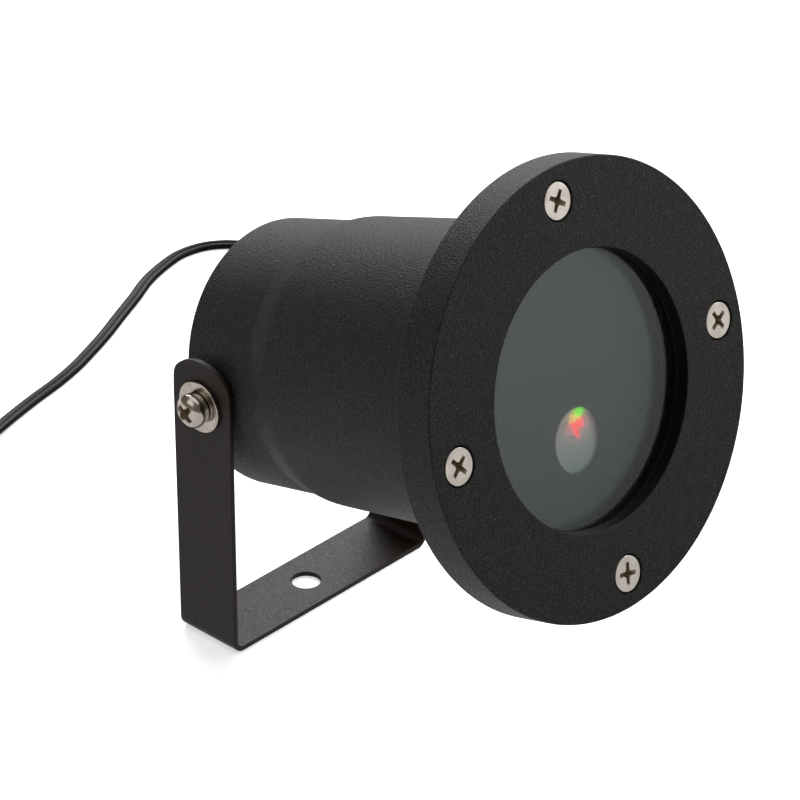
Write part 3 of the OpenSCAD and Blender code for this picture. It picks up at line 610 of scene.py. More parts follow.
# Natural nylon, as ties and small connectors have: milky white.
NATURAL_NYLON = Moulding("natural_nylon", "#d9d7cf", "#cfccc2", 0.45)
# Turned brass: warm yellow with fine turning marks.
TURNED_BRASS = Metal("turned_brass", "#c9a657", "#b28f47", 0.3, 0.06)
# Milled aluminium: grey with a silky grain.
MILLED_ALUMINIUM = Metal("milled_aluminium", "#b9bbbd", "#a9abae", 0.36, 0.07)
# Zinc-plated steel of the motor's can and shaft.
ZINC_STEEL = Metal("zinc_plated_steel", "#b4b5b8", "#a2a4a8", 0.32, 0.06)
# Green solder mask on glass-epoxy board: glossy with a faint weave.
SOLDER_MASK = Coating("green_solder_mask", "#14452a", "#184d30", 0.8, 0.006, 0.3, 0.05)
# Green moulded terminal plastic.
TERMINAL_GREEN = Moulding("terminal_green", "#22754a", "#1e6b43", 0.4)
# Shrunk blue sleeve of the capacitors.
SLEEVE_BLUE = Moulding("shrunk_sleeve", "#171f3d", "#1b2446", 0.3)
# Enamelled copper wound on dark ferrite.
ENAMELLED_COPPER = Metal("enamelled_copper", "#a45c34", "#7c4227", 0.35, 0.06)
# Red wire insulation.
RED_VINYL = Moulding("red_vinyl", "#8e1512", "#7d110f", 0.35)
# Front-silvered mirror glass.
SILVERING = Metal("front_silvering", "#e6e7ea", "#dcdde2", 0.05, 0.01, 2.0, 0.0005)
# Magenta dichroic coating on clear glass.
DICHROIC = Pane("dichroic_coating", "#b98ac4", 1.5, 0.04)
# Clear moulded lens.
LENS = Pane("moulded_lens", "#e6ecf0", 1.5, 0.03)


@dataclass(frozen=True)
class LaserSpot:
    """Where one laser lights the film: its place on the film, its size and its colour."""

    x: float
    y: float
    radius: float
    stretch: float
    gain: float
    colour: str


@dataclass(frozen=True)
class GratingSkin(Finish):
    """Embossed film: milky, pink at the top and grey lower down, with glittering specks where the lasers
    pass through. The pink and the specks are painted laser light, and the specks glow.

    A cell of the relief lights up where the spot's soft disc, times its gain, and the cell's
    random share add up to more than a threshold, so a spot is dense in its middle and breaks up
    into specks towards its rim.
    """

    name: str = "embossed_film"
    # film is the pink of painted laser light at the top; shade is the film's unlit grey lower down.
    film: str = "#a8948f"
    shade: str = "#7c8486"
    middle: float = 12.2
    spots: tuple[LaserSpot, ...] = ()
    pink_fade_start: float = -5.0
    pink_fade_end: float = 7.0
    cell_mm: float = 0.36
    scatter: float = 0.13
    dark_below: float = 0.14
    bright_above: float = 0.42
    strength: float = 0.78

    def on_film(self, tree: Tree, place: Socket, middle: Array, scale: Place = (1.0, 1.0, 1.0)) -> Socket:
        """Returns coordinates along the film, measured from a point of it, in metres."""
        turn = Matrix(np.stack([HEAD.side, HEAD.down, HEAD.depth], axis=1).tolist()).to_euler()
        node = add(tree, "ShaderNodeMapping", {
            "Vector": place, "Location": tuple(HEAD.place(middle) * MM), "Rotation": tuple(turn),
            "Scale": scale}, vector_type="TEXTURE")
        return node.outputs["Vector"]

    def lit(self, tree: Tree, place: Socket, speckle: Socket, spot: LaserSpot) -> Socket:
        """Returns how brightly one spot lights each cell, 0 to 1.

        The spot's distance is measured along the film alone: its depth is scaled away.
        """
        flat = 1000.0
        local = self.on_film(tree, place, [spot.x, spot.y, 0], (1.0, spot.stretch, flat))
        far = add(tree, "ShaderNodeVectorMath", {0: local}, operation="LENGTH")
        near = remap(tree, far.outputs["Value"], (spot.radius * MM, 0.0), interpolation_type="SMOOTHSTEP")
        heap = calculate(tree, "MULTIPLY_ADD", near, spot.gain, speckle)
        return remap(tree, heap, (self.dark_below, self.bright_above))

    def surface(self, tree: Tree, place: Socket) -> Socket:
        """Adds the nodes of the finish and returns its shader."""
        film = self.on_film(tree, place, [0, self.middle, 0])
        down = add(tree, "ShaderNodeSeparateXYZ", {"Vector": film})
        # The film fades from pink at the top to grey lower down: painted laser light falling off downwards.
        fall = remap(tree, down.outputs["Y"], (self.pink_fade_start * MM, self.pink_fade_end * MM))
        base = blend_colours(tree, fall, linear(self.film), linear(self.shade))
        cells = add(tree, "ShaderNodeTexVoronoi", {"Vector": place, "Scale": per_metre(self.cell_mm)})
        speckle = remap(tree, cells.outputs["Color"], (0.1, 0.9), (-self.scatter, self.scatter))
        # Painted laser light: each spot's colour goes into the film's and glows from it.
        glow = linear("#000000")
        for spot in self.spots:
            share = self.lit(tree, place, speckle, spot)
            base = blend_colours(tree, share, base, linear(spot.colour))
            glow = blend_colours(tree, share, glow, linear(spot.colour))
        inputs = {"Base Color": base, "Roughness": 0.35, "IOR": 1.45}
        if self.spots:
            inputs.update({"Emission Color": glow, "Emission Strength": self.strength})
        shader = add(tree, "ShaderNodeBsdfPrincipled", inputs)
        return shader.outputs["BSDF"]


class Finisher:
    """Builds each finish once and puts it on pieces."""

    def __init__(self) -> None:
        """Starts with no material made."""
        self.made: dict[str, bpy.types.Material] = {}

    def get(self, finish: Finish) -> bpy.types.Material:
        """Returns a finish's material, built once."""
        if finish.name not in self.made:
            self.made[finish.name] = finish.build()
        return self.made[finish.name]

    def dress(self, piece: Piece, finish: Finish) -> Piece:
        """Puts a finish on a piece.

        Args:
            piece: The mesh object.
            finish: The finish of the whole piece, or of its first slot.

        Returns:
            The piece.
        """
        slots = piece.data.materials
        if slots:
            slots[0] = self.get(finish)
        else:
            slots.append(self.get(finish))
        return piece


FINISHER = Finisher()


def two_finishes(piece: Piece, first: Finish, second: Finish) -> Piece:
    """Gives a piece one finish and, in the slot after it, another for some of its faces."""
    FINISHER.dress(piece, first)
    piece.data.materials.append(FINISHER.get(second))
    return piece


def settle(piece: Piece, body: Body, finish: Finish, slot: str, *nodes: str) -> Piece:
    """Dresses a new piece, hangs it on its body and hides the nodes that it stands for."""
    FINISHER.dress(piece, finish)
    even = piece.modifiers.new("even", "WEIGHTED_NORMAL")
    even.keep_sharp = True
    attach(piece, body.value)
    if nodes:
        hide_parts(*nodes)
    LOG.info("%s: %d points, %s", piece.name, len(piece.data.vertices), finish.name)
    return piece


# Sub-assemblies

@dataclass
class SupplyLead:
    """The flat twin lead: out of the gland, down behind the head, over the floor, into a coil.

    Its points are those of the CAD route. The coil winds in along the lower layer at a steady
    rate and out again along the upper one: at u turns its radius is
    inner + pitch |turns - u|, and it climbs a layer by a smooth step round the middle.
    """

    width: float = 3.6
    thick: float = 1.8
    stand_out: float = 21.7
    straight: tuple[float, float] = (4.0, 9.0)
    run_in: float = 4.0
    step: float = 1.1
    steps_per_turn: int = 24
    coil_centre: Place = (-32.0, 133.0, 0.0)
    coil_bearing: float = -75.0
    coil_turns: int = 6
    coil_pitch: float = 4.1
    coil_mid_r: float = 21.6
    coil_low: float = 2.1
    coil_rise: float = 2.4
    floor: tuple[Place, ...] = (
        (3.5, 37, 51.3), (8.5, 43, 44.5), (14.5, 48.7, 35.8), (21, 54.5, 26), (28, 60.5, 16.5),
        (37, 66.5, 8), (47.5, 72.5, 3), (58.5, 78.5, 0.9), (70, 84, 0.9), (81, 89, 0.9),
        (91.5, 94, 0.9), (101, 100, 0.9), (108.5, 107.5, 0.9), (113, 116.5, 0.9),
        (114, 125.5, 0.9), (111, 134, 0.9), (105, 139.5, 0.9), (96.5, 141.5, 0.9),
        (88, 140, 0.9), (79, 137, 0.9), (70, 132.5, 0.9), (60, 127.8, 0.9), (50, 123, 0.9),
        (41, 119.2, 0.9), (33, 116.1, 0.9), (24.5, 113.6, 0.9), (14, 111.3, 0.9),
        (4, 108.6, 1.1), (-6, 105.3, 1.6))
    tail: tuple[Place, ...] = (
        (-37, 96.5, 4.5), (-44, 94, 4.5), (-51, 91, 4.5), (-57, 88, 4.5))

    def coil(self) -> Array:
        """Returns the coil's points."""
        u = np.arange(0, 2 * self.coil_turns + 1e-9, 1 / self.steps_per_turn)
        inner = self.coil_mid_r - self.coil_pitch * self.coil_turns / 2
        r = inner + self.coil_pitch * np.abs(self.coil_turns - u)
        a = np.radians(self.coil_bearing - 360 * u)
        c = np.clip(2 * (u - self.coil_turns) + 0.5, 0, 1)
        z = self.coil_low + self.coil_rise * c * c * (3 - 2 * c)
        return np.array(self.coil_centre) + np.stack([r * np.cos(a), r * np.sin(a), z], axis=1)

    def route(self) -> Array:
        """Returns the whole centreline: the lead, the coil and the tail."""
        start = HEAD.pivot + self.stand_out * HEAD.depth
        coil = self.coil()
        bearing = math.radians(self.coil_bearing)
        heading = np.array([math.sin(bearing), -math.cos(bearing), 0.0])
        first, last = coil[0] - self.width * heading, coil[-1] + self.width * heading
        lead = [start, *(start + far * HEAD.depth for far in self.straight), *self.floor,
                first - self.run_in * heading, first]
        return np.vstack([*lead, *coil, last, last + self.run_in * heading, *self.tail])

    def smooth_route(self) -> Array:
        """Returns the route as one smooth curve.

        Between two points it is a cubic whose ends take the direction of the neighbours' chord,
        scaled by the time between them, and time grows with the distance of the points.
        """
        p = self.route()
        t = np.concatenate([[0], np.cumsum(np.linalg.norm(np.diff(p, axis=0), axis=1))])
        slope = np.gradient(p, t, axis=0)
        at = np.linspace(0, t[-1], int(t[-1] / self.step))
        k = np.clip(np.searchsorted(t, at, side="right") - 1, 0, len(t) - 2)
        h = (t[k + 1] - t[k])[:, None]
        s = ((at - t[k])[:, None]) / h
        return ((1 + 2 * s) * (1 - s) ** 2 * p[k] + s * (1 - s) ** 2 * h * slope[k]
                + s * s * (3 - 2 * s) * p[k + 1] + s * s * (s - 1) * h * slope[k + 1])

    def section(self, steps: int = 28) -> Array:
        """Returns the lead's cross-section, two round cores joined by a waist.

        At angle a the outline is (width/2 cos^p a, thick/2 sin^q a), signs kept, with its height
        drawn in by a bell round the middle, which leaves the groove between the cores.
        """
        p, q, groove_deep, groove_w = 0.8, 0.62, 0.42, 0.42
        a = np.linspace(0, 2 * np.pi, steps, endpoint=False)
        x = self.width / 2 * np.sign(np.cos(a)) * np.abs(np.cos(a)) ** p
        dent = 1 - groove_deep * np.exp(-((x / groove_w) ** 2))
        y = self.thick / 2 * np.sign(np.sin(a)) * np.abs(np.sin(a)) ** q * dent
        return np.stack([x, y], axis=1)

    def build(self) -> Piece:
        """Sweeps the section along the route, its width level."""
        line = self.smooth_route()
        along = unit(np.gradient(line, axis=0))
        side = unit(np.cross(along, np.array([0.0, 0.0, 1.0])))
        up = np.cross(side, along)
        shape = self.section()
        grid = (line[:, None, :] + side[:, None, :] * shape[None, :, 0, None]
                + up[:, None, :] * shape[None, :, 1, None])
        piece = sheet("supply_lead", capped(grid), False, True, sharp_deg=50)
        FINISHER.dress(piece, VINYL)
        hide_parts("cord_lead", "cord_coil", "cord_tail")
        # The lead bends between its fourth floor point and a point 7 mm out of the gland.
        tuple(mm([21.0, 54.5, 26.0]))
        tuple(mm(line[6]))
        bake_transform(piece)
        tuple(mm(line[0]))
        [tuple(p) for p in mm(line)]
        return piece


@dataclass
class CrossRecess:
    """The cross-shaped recess of a screw's head, which tapers into the work.

    The mouth and root shares scale the arms' width and reach above the head and at the bottom.
    """

    reach: float
    half_w: float
    deep: float
    over: float = 0.6
    mouth: tuple[float, float] = (1.1, 1.05)
    root: tuple[float, float] = (0.55, 0.4)
    corner: tuple[tuple[float, float], ...] = ((2.1, 1.08), (1.4, 1.4), (1.08, 2.1))

    def outline(self, turn: float, wide: float, far: float) -> Array:
        """Returns the cross at one level, its arms wide and far times their full size.

        Three points, given in half widths of an arm, fill in each inner corner.
        """
        w, r = self.half_w * wide, self.reach * far
        arm = np.array([[r, -w], [r, w], *(w * np.array(self.corner))])
        quarters = [np.radians(turn + 90 * k) for k in range(4)]
        return np.concatenate([
            arm @ np.array([[math.cos(a), math.sin(a)], [-math.sin(a), math.cos(a)]]) for a in quarters])

    def cutter(self, place: Callable[[Array], Array], turn: float, top: float) -> Piece:
        """Makes the tapering cross that cuts the recess.

        Args:
            place: Puts local points in the world.
            turn: The cross's turn about the screw, in degrees.
            top: The depth of the head's top.

        Returns:
            The cutter. Its faces take the second material, the recess's painted shade.
        """
        rows = []
        for z, scale in ((top - self.over, self.mouth), (top, (1.0, 1.0)), (top + self.deep, self.root)):
            ring = self.outline(turn, *scale)
            rows.append(np.column_stack([ring, np.full(len(ring), z)]))
        return shade_recess_faces(sheet("cross", place(capped(np.array(rows))), False, True))


def shade_recess_faces(piece: Piece) -> Piece:
    """Gives a cutter two material slots and puts its faces on the second, so the recess it cuts takes
    painted shade.
    """
    blank = [bpy.data.materials.get(n) or bpy.data.materials.new(n) for n in ("first", "second")]
    for material in blank:
        piece.data.materials.append(material)
    for face in piece.data.polygons:
        face.material_index = 1
    return piece


@dataclass
class Bezel:
    """The front ring with its four countersunk screws."""

    window_r: float = 30.6
    draft: float = 0.5
    plate: float = 4.3
    skirt: float = 3.0
    screw_inset: float = 7.5
    pocket_r: float = 4.45
    pocket_deep: float = 0.7
    pocket_lip: float = 0.22
    hole_r: float = 2.1
    head_r: float = 4.0
    head_rim: float = 0.5
    head_sink: float = 0.2
    shank_r: float = 2.0
    screw_len: float = 8.0
    glass_gap: float = 0.3
    turns: tuple[float, ...] = (34.0, 60.0, 12.0, 50.0)
    ring_seam: float = 0.0067
    screw_seam: float = 0.021

    def __post_init__(self) -> None:
        """Takes the outer size and the glass's seat from the frame."""
        self.outer_r = HEAD.radius("front_bezel")
        self.depth = HEAD.span("front_bezel")[1]
        self.seat = HEAD.span("front_gasket")[0]
        self.seat_r = HEAD.radius("window_glass") + self.glass_gap
        self.circle_r = self.outer_r - self.screw_inset

    def centres(self) -> list[tuple[float, float]]:
        """Returns the screws' places: top, right, bottom and left, seen from the front."""
        return [(self.circle_r * math.cos(math.radians(a)), self.circle_r * math.sin(math.radians(a)))
                for a in (-90, 0, 90, 180)]

    def ring(self) -> Piece:
        """Makes the ring, blackens its opening with painted shade and cuts the screw pockets, each with a
        rolled lip.
        """
        profile = [
            (self.window_r, 0, 0.25), (self.outer_r, 0, 0.35), (self.outer_r, self.depth, 0.3),
            (self.outer_r - self.skirt, self.depth, 0.2), (self.outer_r - self.skirt, self.plate, 0.2),
            (self.seat_r, self.plate, 0.15), (self.seat_r, self.seat, 0.15),
            (self.window_r - self.draft, self.seat, 0.12)]
        piece = turned("bezel_ring", profile, segments=288, start=self.ring_seam)
        # The opening's wall takes the second finish: painted shade.
        two_finishes(piece, POWDER_COAT, BORE_SHADE)
        # The wall's own faces lie at the opening's radius and the face of the ring further out.
        wall_r = self.window_r + 0.02
        for face in piece.data.polygons:
            face.material_index = int(HEAD.off_axis(face.center) < wall_r)
        lip, clear = self.pocket_lip, 1.0
        pocket = [
            (0, -clear, 0), (self.pocket_r + lip, -clear, 0), (self.pocket_r + lip, 0, 0),
            (self.pocket_r + lip * 0.3, lip * 0.3, 0), (self.pocket_r, lip, 0),
            (self.pocket_r, self.pocket_deep, 0.1),
            (self.hole_r, self.pocket_deep + self.pocket_r - self.hole_r, 0.1),
            (self.hole_r, self.plate + clear, 0), (0, self.plate + clear, 0)]
        cut(piece, [turned("pocket", pocket, segments=64, steps=3, centre=c, start=self.screw_seam)
                    for c in self.centres()])
        return settle(piece, Body.HEAD, POWDER_COAT, "powder_coat", "front_bezel")

    def screws(self) -> Piece:
        """Makes the four screws, each turned its own way as a screwdriver left it."""
        cone = self.head_sink + self.head_rim
        end = self.head_sink + self.screw_len
        profile = [
            (0, self.head_sink, 0), (self.head_r, self.head_sink, 0.12), (self.head_r, cone, 0.08),
            (self.shank_r, cone + self.head_r - self.shank_r, 0.2), (self.shank_r, end, 0.3), (0, end, 0)]
        recess = CrossRecess(reach=2.55, half_w=0.5, deep=1.6)
        made = []
        for centre, turn in zip(self.centres(), self.turns):
            screw = turned("screw", profile, segments=72, steps=4, centre=centre, start=self.screw_seam)
            # The cross recess takes the second finish: painted shade.
            two_finishes(screw, DULL_NICKEL, RECESS_SHADE)

            def place(local: Array, at: tuple[float, float] = centre) -> Array:
                """Moves the cutter's points onto the screw."""
                return HEAD.place(local + np.array([at[0], at[1], 0.0]))

            cut(screw, [recess.cutter(place, turn, self.head_sink)])
            made.append(screw)
        piece = join("bezel_screw_set", made)
        return settle(piece, Body.HEAD, DULL_NICKEL, "bright_steel", "bezel_screws")

    def build(self) -> None:
        """Makes the ring and its screws."""
        self.ring()
        self.screws()


@dataclass
class Window:
    """The glass, its gaskets, the mask behind it and the film behind the mask's hole."""

    hole_r: float = 7.25
    drop: float = 12.2
    film_w: float = 19.0
    film_belly: float = 0.25
    glass_edge: float = 0.3
    # Painted laser light on the film: each spot glows in its laser's colour.
    spots: tuple[LaserSpot, ...] = (
        LaserSpot(1.8, 9.6, 8.5, 0.8, 0.27, "#c08a8a"),
        LaserSpot(1.2, 8.8, 6.0, 0.6, 0.34, "#dd6d6c"),
        LaserSpot(1.3, 8.9, 4.4, 0.66, 0.5, "#fb4a4c"),
        LaserSpot(0.8, 10.9, 1.5, 1.9, 0.42, "#f04450"),
        LaserSpot(1.4, 7.1, 4.8, 0.5, 0.42, "#e0b846"),
        LaserSpot(2.9, 6.5, 3.5, 0.62, 0.46, "#66e01a"))

    def build(self) -> None:
        """Makes the glass, the mask and the film, and dresses the gaskets."""
        glass_r = HEAD.radius("window_glass")
        front, back = HEAD.span("window_glass")
        glass = turned("window_pane", disc_profile(glass_r, front, back, self.glass_edge))
        settle(glass, Body.HEAD, FLOAT_GLASS, "window_glass", "window_glass")
        self.mask()
        self.film()
        for node in ("front_gasket", "rear_gasket", "bezel_seal"):
            FINISHER.dress(frame["nodes"][node], NITRILE)

    def mask(self) -> Piece:
        """Makes the mask: rings run from the hole's circle out to the rim in even shares."""
        outer = HEAD.radius("aperture_mask")
        front, back = HEAD.span("aperture_mask")
        steps, rings = 128, 9
        a = np.linspace(0, 2 * np.pi, steps, endpoint=False)
        hole = np.stack([self.hole_r * np.cos(a), self.drop + self.hole_r * np.sin(a)], axis=1)
        rim = np.stack([outer * np.cos(a), outer * np.sin(a)], axis=1)
        share = np.linspace(0, 1, rings)[:, None, None]
        flat = (1 - share) * hole[None] + share * rim[None]
        layers = [np.concatenate([flat, np.full((*flat.shape[:2], 1), z)], axis=2) for z in (front, back)]
        grid = np.concatenate([layers[0], layers[1][::-1]])
        piece = sheet("mask_plate", HEAD.place(grid), True, True)
        return settle(piece, Body.HEAD, MASK_LACQUER, "mask_black", "aperture_mask")

    def film(self) -> Piece:
        """Makes the square of film: it bellies forward into the hole by belly exp(-r^2 / spread)."""
        front, back = HEAD.span("grating_film")
        n, spread = 25, 30.0
        s = np.linspace(-0.5, 0.5, n) * self.film_w
        x, y = np.meshgrid(s, s)
        belly = self.film_belly * np.exp(-(x * x + y * y) / spread)
        faces = [np.stack([x, y + self.drop, z + 0 * x - belly], axis=-1) for z in (front, back)]
        points = np.concatenate([faces[0].reshape(-1, 3), faces[1].reshape(-1, 3)])
        quads = grid_faces(n, n, False, False)
        rim = np.concatenate([np.arange(n), n * np.arange(1, n) + n - 1,
                              n * n - 1 - np.arange(1, n), n * np.arange(n - 2, 0, -1)])
        wall = np.stack([rim, np.roll(rim, -1), np.roll(rim, -1) + n * n, rim + n * n], axis=1)
        shell = np.concatenate([quads, quads[:, ::-1] + n * n, wall])
        piece = make_mesh("film_square", mm(HEAD.place(points)), shell)
        return settle(piece, Body.HEAD, GratingSkin(spots=self.spots), "grating_film", "grating_film")


@dataclass
class Casting:
    """The housing: a flange under the bezel, a tapering front section, a step and a slimmer rear.

    Depths are counted from the bezel's front face and radii from the head's axis.
    """

    wall: float = 2.6
    rear_wall: float = 3.0
    front_r: float = 35.3
    front_end_r: float = 32.85
    foot_r: float = 31.5
    rear_r: float = 30.75
    flange_r: float = 46.7
    flange_z: float = 4.3
    shoulder_z: float = 9.4
    step_z: float = 73.2
    step_len: float = 5.5
    ledge_r: float = 31.0
    ledge_z: float = 10.3
    ledge_t: float = 2.6
    ledge_run: float = 5.2
    inner_draft: float = 0.1
    recess_r: float = 33.3
    gland_r: float = 6.1

    def build(self) -> Piece:
        """Turns the shell and drills its openings."""
        rear = HEAD.span("housing")[1]
        floor = rear - self.rear_wall
        profile = [
            (self.recess_r, self.flange_z, 0.2), (self.flange_r, self.flange_z, 0.3),
            (self.flange_r, self.shoulder_z, 0.4), (self.front_r, self.shoulder_z, 1.2),
            (self.front_end_r, self.step_z - self.step_len, 18), (self.foot_r, self.step_z, 6),
            (self.rear_r, rear, 1.0), (self.gland_r, rear, 0.2), (self.gland_r, floor, 0.2),
            (self.rear_r - self.wall, floor, 1.5), (self.foot_r - self.wall, self.step_z, 1.0),
            (self.front_end_r - self.wall, self.step_z - self.step_len, 1.0),
            (self.front_r - self.wall - self.inner_draft, self.ledge_z + self.ledge_run, 0.6),
            (self.ledge_r, self.ledge_z + self.ledge_t, 0.4), (self.ledge_r, self.ledge_z, 0.1),
            (self.recess_r, self.ledge_z, 0.2)]
        piece = turned("head_casting", profile, segments=288)
        return settle(piece, Body.HEAD, POWDER_COAT, "powder_coat", "housing")


@dataclass
class Bracket:
    """The U bracket: a flat strip bent twice, its leg ends rounded about the pivot."""

    width: float = 18.0
    thick: float = 1.2
    bend_r: float = 1.8
    end_r: float = 11.0
    bolt_r: float = 3.5
    pivot_hole_r: float = 2.05
    edge: float = 0.25
    blunt: float = 14.0

    def path(self) -> tuple[Array, Array]:
        """Returns the strip's middle line and the outward normal, from one leg's top to the other's.

        The line goes down a leg, round a quarter circle, along the base and up again. Its steps
        shorten towards the ends, where the strip narrows to a point of its end circle.
        """
        end_steps, leg_steps, bend_steps, base_steps = 24, 22, 13, 14
        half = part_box("u_bracket")[1].x / MM - self.thick / 2
        top = HEAD.pivot[2] + self.end_r
        low, r = self.thick / 2, self.bend_r + self.thick / 2
        ease = top - self.end_r * (1 - np.cos(np.linspace(0, np.pi / 2, end_steps)))
        leg = np.concatenate([ease, np.linspace(top - self.end_r, low + r, leg_steps)[1:]])
        turn = np.radians(np.linspace(0, 90, bend_steps))[1:-1]
        xs = np.concatenate([np.full(len(leg), half), half - r + r * np.cos(turn),
                             np.linspace(half - r, 0, base_steps)])
        zs = np.concatenate([leg, low + r - r * np.sin(turn), np.full(base_steps, low)])
        nx = np.concatenate([np.ones(len(leg)), np.cos(turn), np.zeros(base_steps)])
        nz = np.concatenate([np.zeros(len(leg)), -np.sin(turn), -np.ones(base_steps)])
        line = np.stack([np.concatenate([xs, -xs[-2::-1]]), np.concatenate([zs, zs[-2::-1]])], axis=1)
        normal = np.stack([np.concatenate([nx, -nx[-2::-1]]), np.concatenate([nz, nz[-2::-1]])], axis=1)
        return line, normal

    def build(self) -> Piece:
        """Sweeps a rectangle with rounded edges along the path and drills the three holes.

        The half width blends the strip's own, w, with the end circle's, c, by
        (w^-k + c^-k)^(-1/k). k is blunt: the larger it is, the tighter the corner between them.
        """
        line, normal = self.path()
        above = np.clip(line[:, 1] - HEAD.pivot[2], 0, self.end_r)
        arc = np.sqrt(np.maximum(self.end_r ** 2 - above ** 2, 1e-6))
        half_w = ((self.width / 2) ** -self.blunt + arc ** -self.blunt) ** (-1 / self.blunt)
        h, e, edge_steps = self.thick / 2, self.edge, 5
        quarter = np.radians(np.linspace(0, 90, edge_steps))
        u, v = [], []
        for su, sv, a0 in ((1, 1, 0), (-1, 1, 90), (-1, -1, 180), (1, -1, 270)):
            a = quarter + math.radians(a0)
            u.append(np.stack([np.full(edge_steps, su), e * (np.cos(a) - su)], axis=1))
            v.append(sv * (h - e) + e * np.sin(a))
        u, v = np.concatenate(u), np.concatenate(v)
        across = half_w[:, None] * u[None, :, 0]
        inset = np.minimum(1.0, half_w / (2 * e))[:, None] * u[None, :, 1]
        y = across + inset
        x = line[:, 0, None] + normal[:, 0, None] * v[None, :]
        z = line[:, 1, None] + normal[:, 1, None] * v[None, :]
        piece = sheet("bent_strip", np.stack([x, y, z], axis=-1), False, True)
        cut(piece, self.drills())
        return settle(piece, Body.BRACKET, STRIP_PAINT, "bracket_paint", "u_bracket")

    def drills(self) -> list[Piece]:
        """Makes the solids that cut the bolt hole and the two pivot holes."""
        lip, clear = 0.15, 1.0
        wide = self.bolt_r + lip
        bolt = np.array([
            (0, -clear), (wide + clear, -clear), (wide, 0), (self.bolt_r, lip),
            (self.bolt_r, self.thick - lip), (wide, self.thick), (wide + clear, self.thick + clear),
            (0, self.thick + clear)])
        made = [sheet("bolt", lathe(bolt, 96), True, True)]
        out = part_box("u_bracket")[1].x / MM
        near, far = out - self.thick - clear, out + clear
        for s in (-1, 1):
            pin = lathe(np.array([
                (0, near), (self.pivot_hole_r, near), (self.pivot_hole_r, far), (0, far)]), 64)
            points = np.stack([s * pin[..., 2], pin[..., 1], pin[..., 0] + HEAD.pivot[2]], axis=-1)
            made.append(sheet("pin", points, True, True))
        return made


@dataclass
class Pivots:
    """The two pivot screws with their flat and spring washers."""

    washer_r: float = 6.15
    washer_t: float = 1.0
    spring_r: float = 3.8
    spring_t: float = 1.1
    wire_t: float = 0.8
    split_deg: float = 16.0
    gap: float = 0.1
    climb: float = 0.28
    head_r: float = 4.0
    head_h: float = 3.3
    rim_h: float = 0.9
    shank_r: float = 2.0
    length: float = 10.0
    turns: tuple[float, float] = (34.0, 12.0)
    seam: float = 0.017

    def place(self, side: int) -> Callable[[Array], Array]:
        """Returns what puts local points on a leg: z runs outwards, x up along the head."""

        def moved(local: Array) -> Array:
            """Places points by the side's outward axis and the head's own axes."""
            local = np.asarray(local, float)
            basis = np.stack([-HEAD.down, -side * HEAD.depth, np.array([side, 0.0, 0.0])])
            return HEAD.pivot + local @ basis

        return moved

    def build(self) -> None:
        """Makes the screws, the flat washers and the spring washers."""
        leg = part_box("u_bracket")[1].x / MM
        spring, head = leg + self.washer_t, leg + self.washer_t + self.spring_t
        washers, springs, screws = [], [], []
        for k, side in enumerate((-1, 1)):
            place = self.place(side)
            ring = fillet(ring_profile(self.washer_r, self.shank_r + self.gap, leg, spring, 0.22))
            washers.append(sheet("washer", place(lathe(ring, 128)), True, True))
            springs.append(sheet("spring", place(self.split_ring(spring)), False, True))
            screws.append(self.screw(place, head, self.turns[k]))
        for name, pair, node in (("flat_washer_pair", washers, "flat_washers"),
                                 ("spring_washer_pair", springs, "spring_washers"),
                                 ("pivot_screw_pair", screws, "pivot_screws")):
            settle(join(name, pair), Body.HEAD, BRIGHT_NICKEL, "bright_steel", node)

    def split_ring(self, start: float) -> Array:
        """Returns a spring washer pressed almost flat: one turn of a square wire that climbs a little."""
        steps, edge = 90, 0.12
        low, high, t = self.shank_r + self.gap, self.spring_r, self.wire_t
        section = fillet([(low, 0, edge), (high, 0, edge), (high, t, edge), (low, t, edge)], 3)
        a = np.radians(np.linspace(self.split_deg / 2, 360 - self.split_deg / 2, steps))
        climb = self.climb * np.linspace(0, 1, steps)
        ring = np.stack([section[None, :, 0] * np.cos(a)[:, None], section[None, :, 0] * np.sin(a)[:, None],
                         start + section[None, :, 1] + climb[:, None]], axis=-1)
        return capped(ring)

    def screw(self, place: Callable[[Array], Array], base: float, turn: float) -> Piece:
        """Makes a pan-head screw: a low dome over a short straight rim."""
        top, tip = base + self.head_h, base - self.length
        under, point = 0.15, 0.4
        dome = [(self.head_r * math.sin(b), base + self.rim_h + (self.head_h - self.rim_h) * math.cos(b))
                for b in np.radians(np.linspace(0, 90, 16))]
        outline = np.array([
            *dome, (self.head_r, base + under), (self.head_r - under, base), (self.shank_r, base),
            (self.shank_r, tip + point), (self.shank_r - point, tip), (0, tip)])
        screw = sheet("screw", place(lathe(outline, 96, start=self.seam)), True, True)
        # The cross recess takes the second finish: painted shade.
        two_finishes(screw, BRIGHT_NICKEL, RECESS_SHADE)

        def flipped(local: Array) -> Array:
            """Places the cutter's points, whose z runs inwards from the dome's top."""
            return place(local * np.array([1, 1, -1]) + np.array([0, 0, 2 * top]))

        recess = CrossRecess(reach=2.6, half_w=0.66, deep=2.2)
        cut(screw, [recess.cutter(flipped, turn, top)])
        return screw


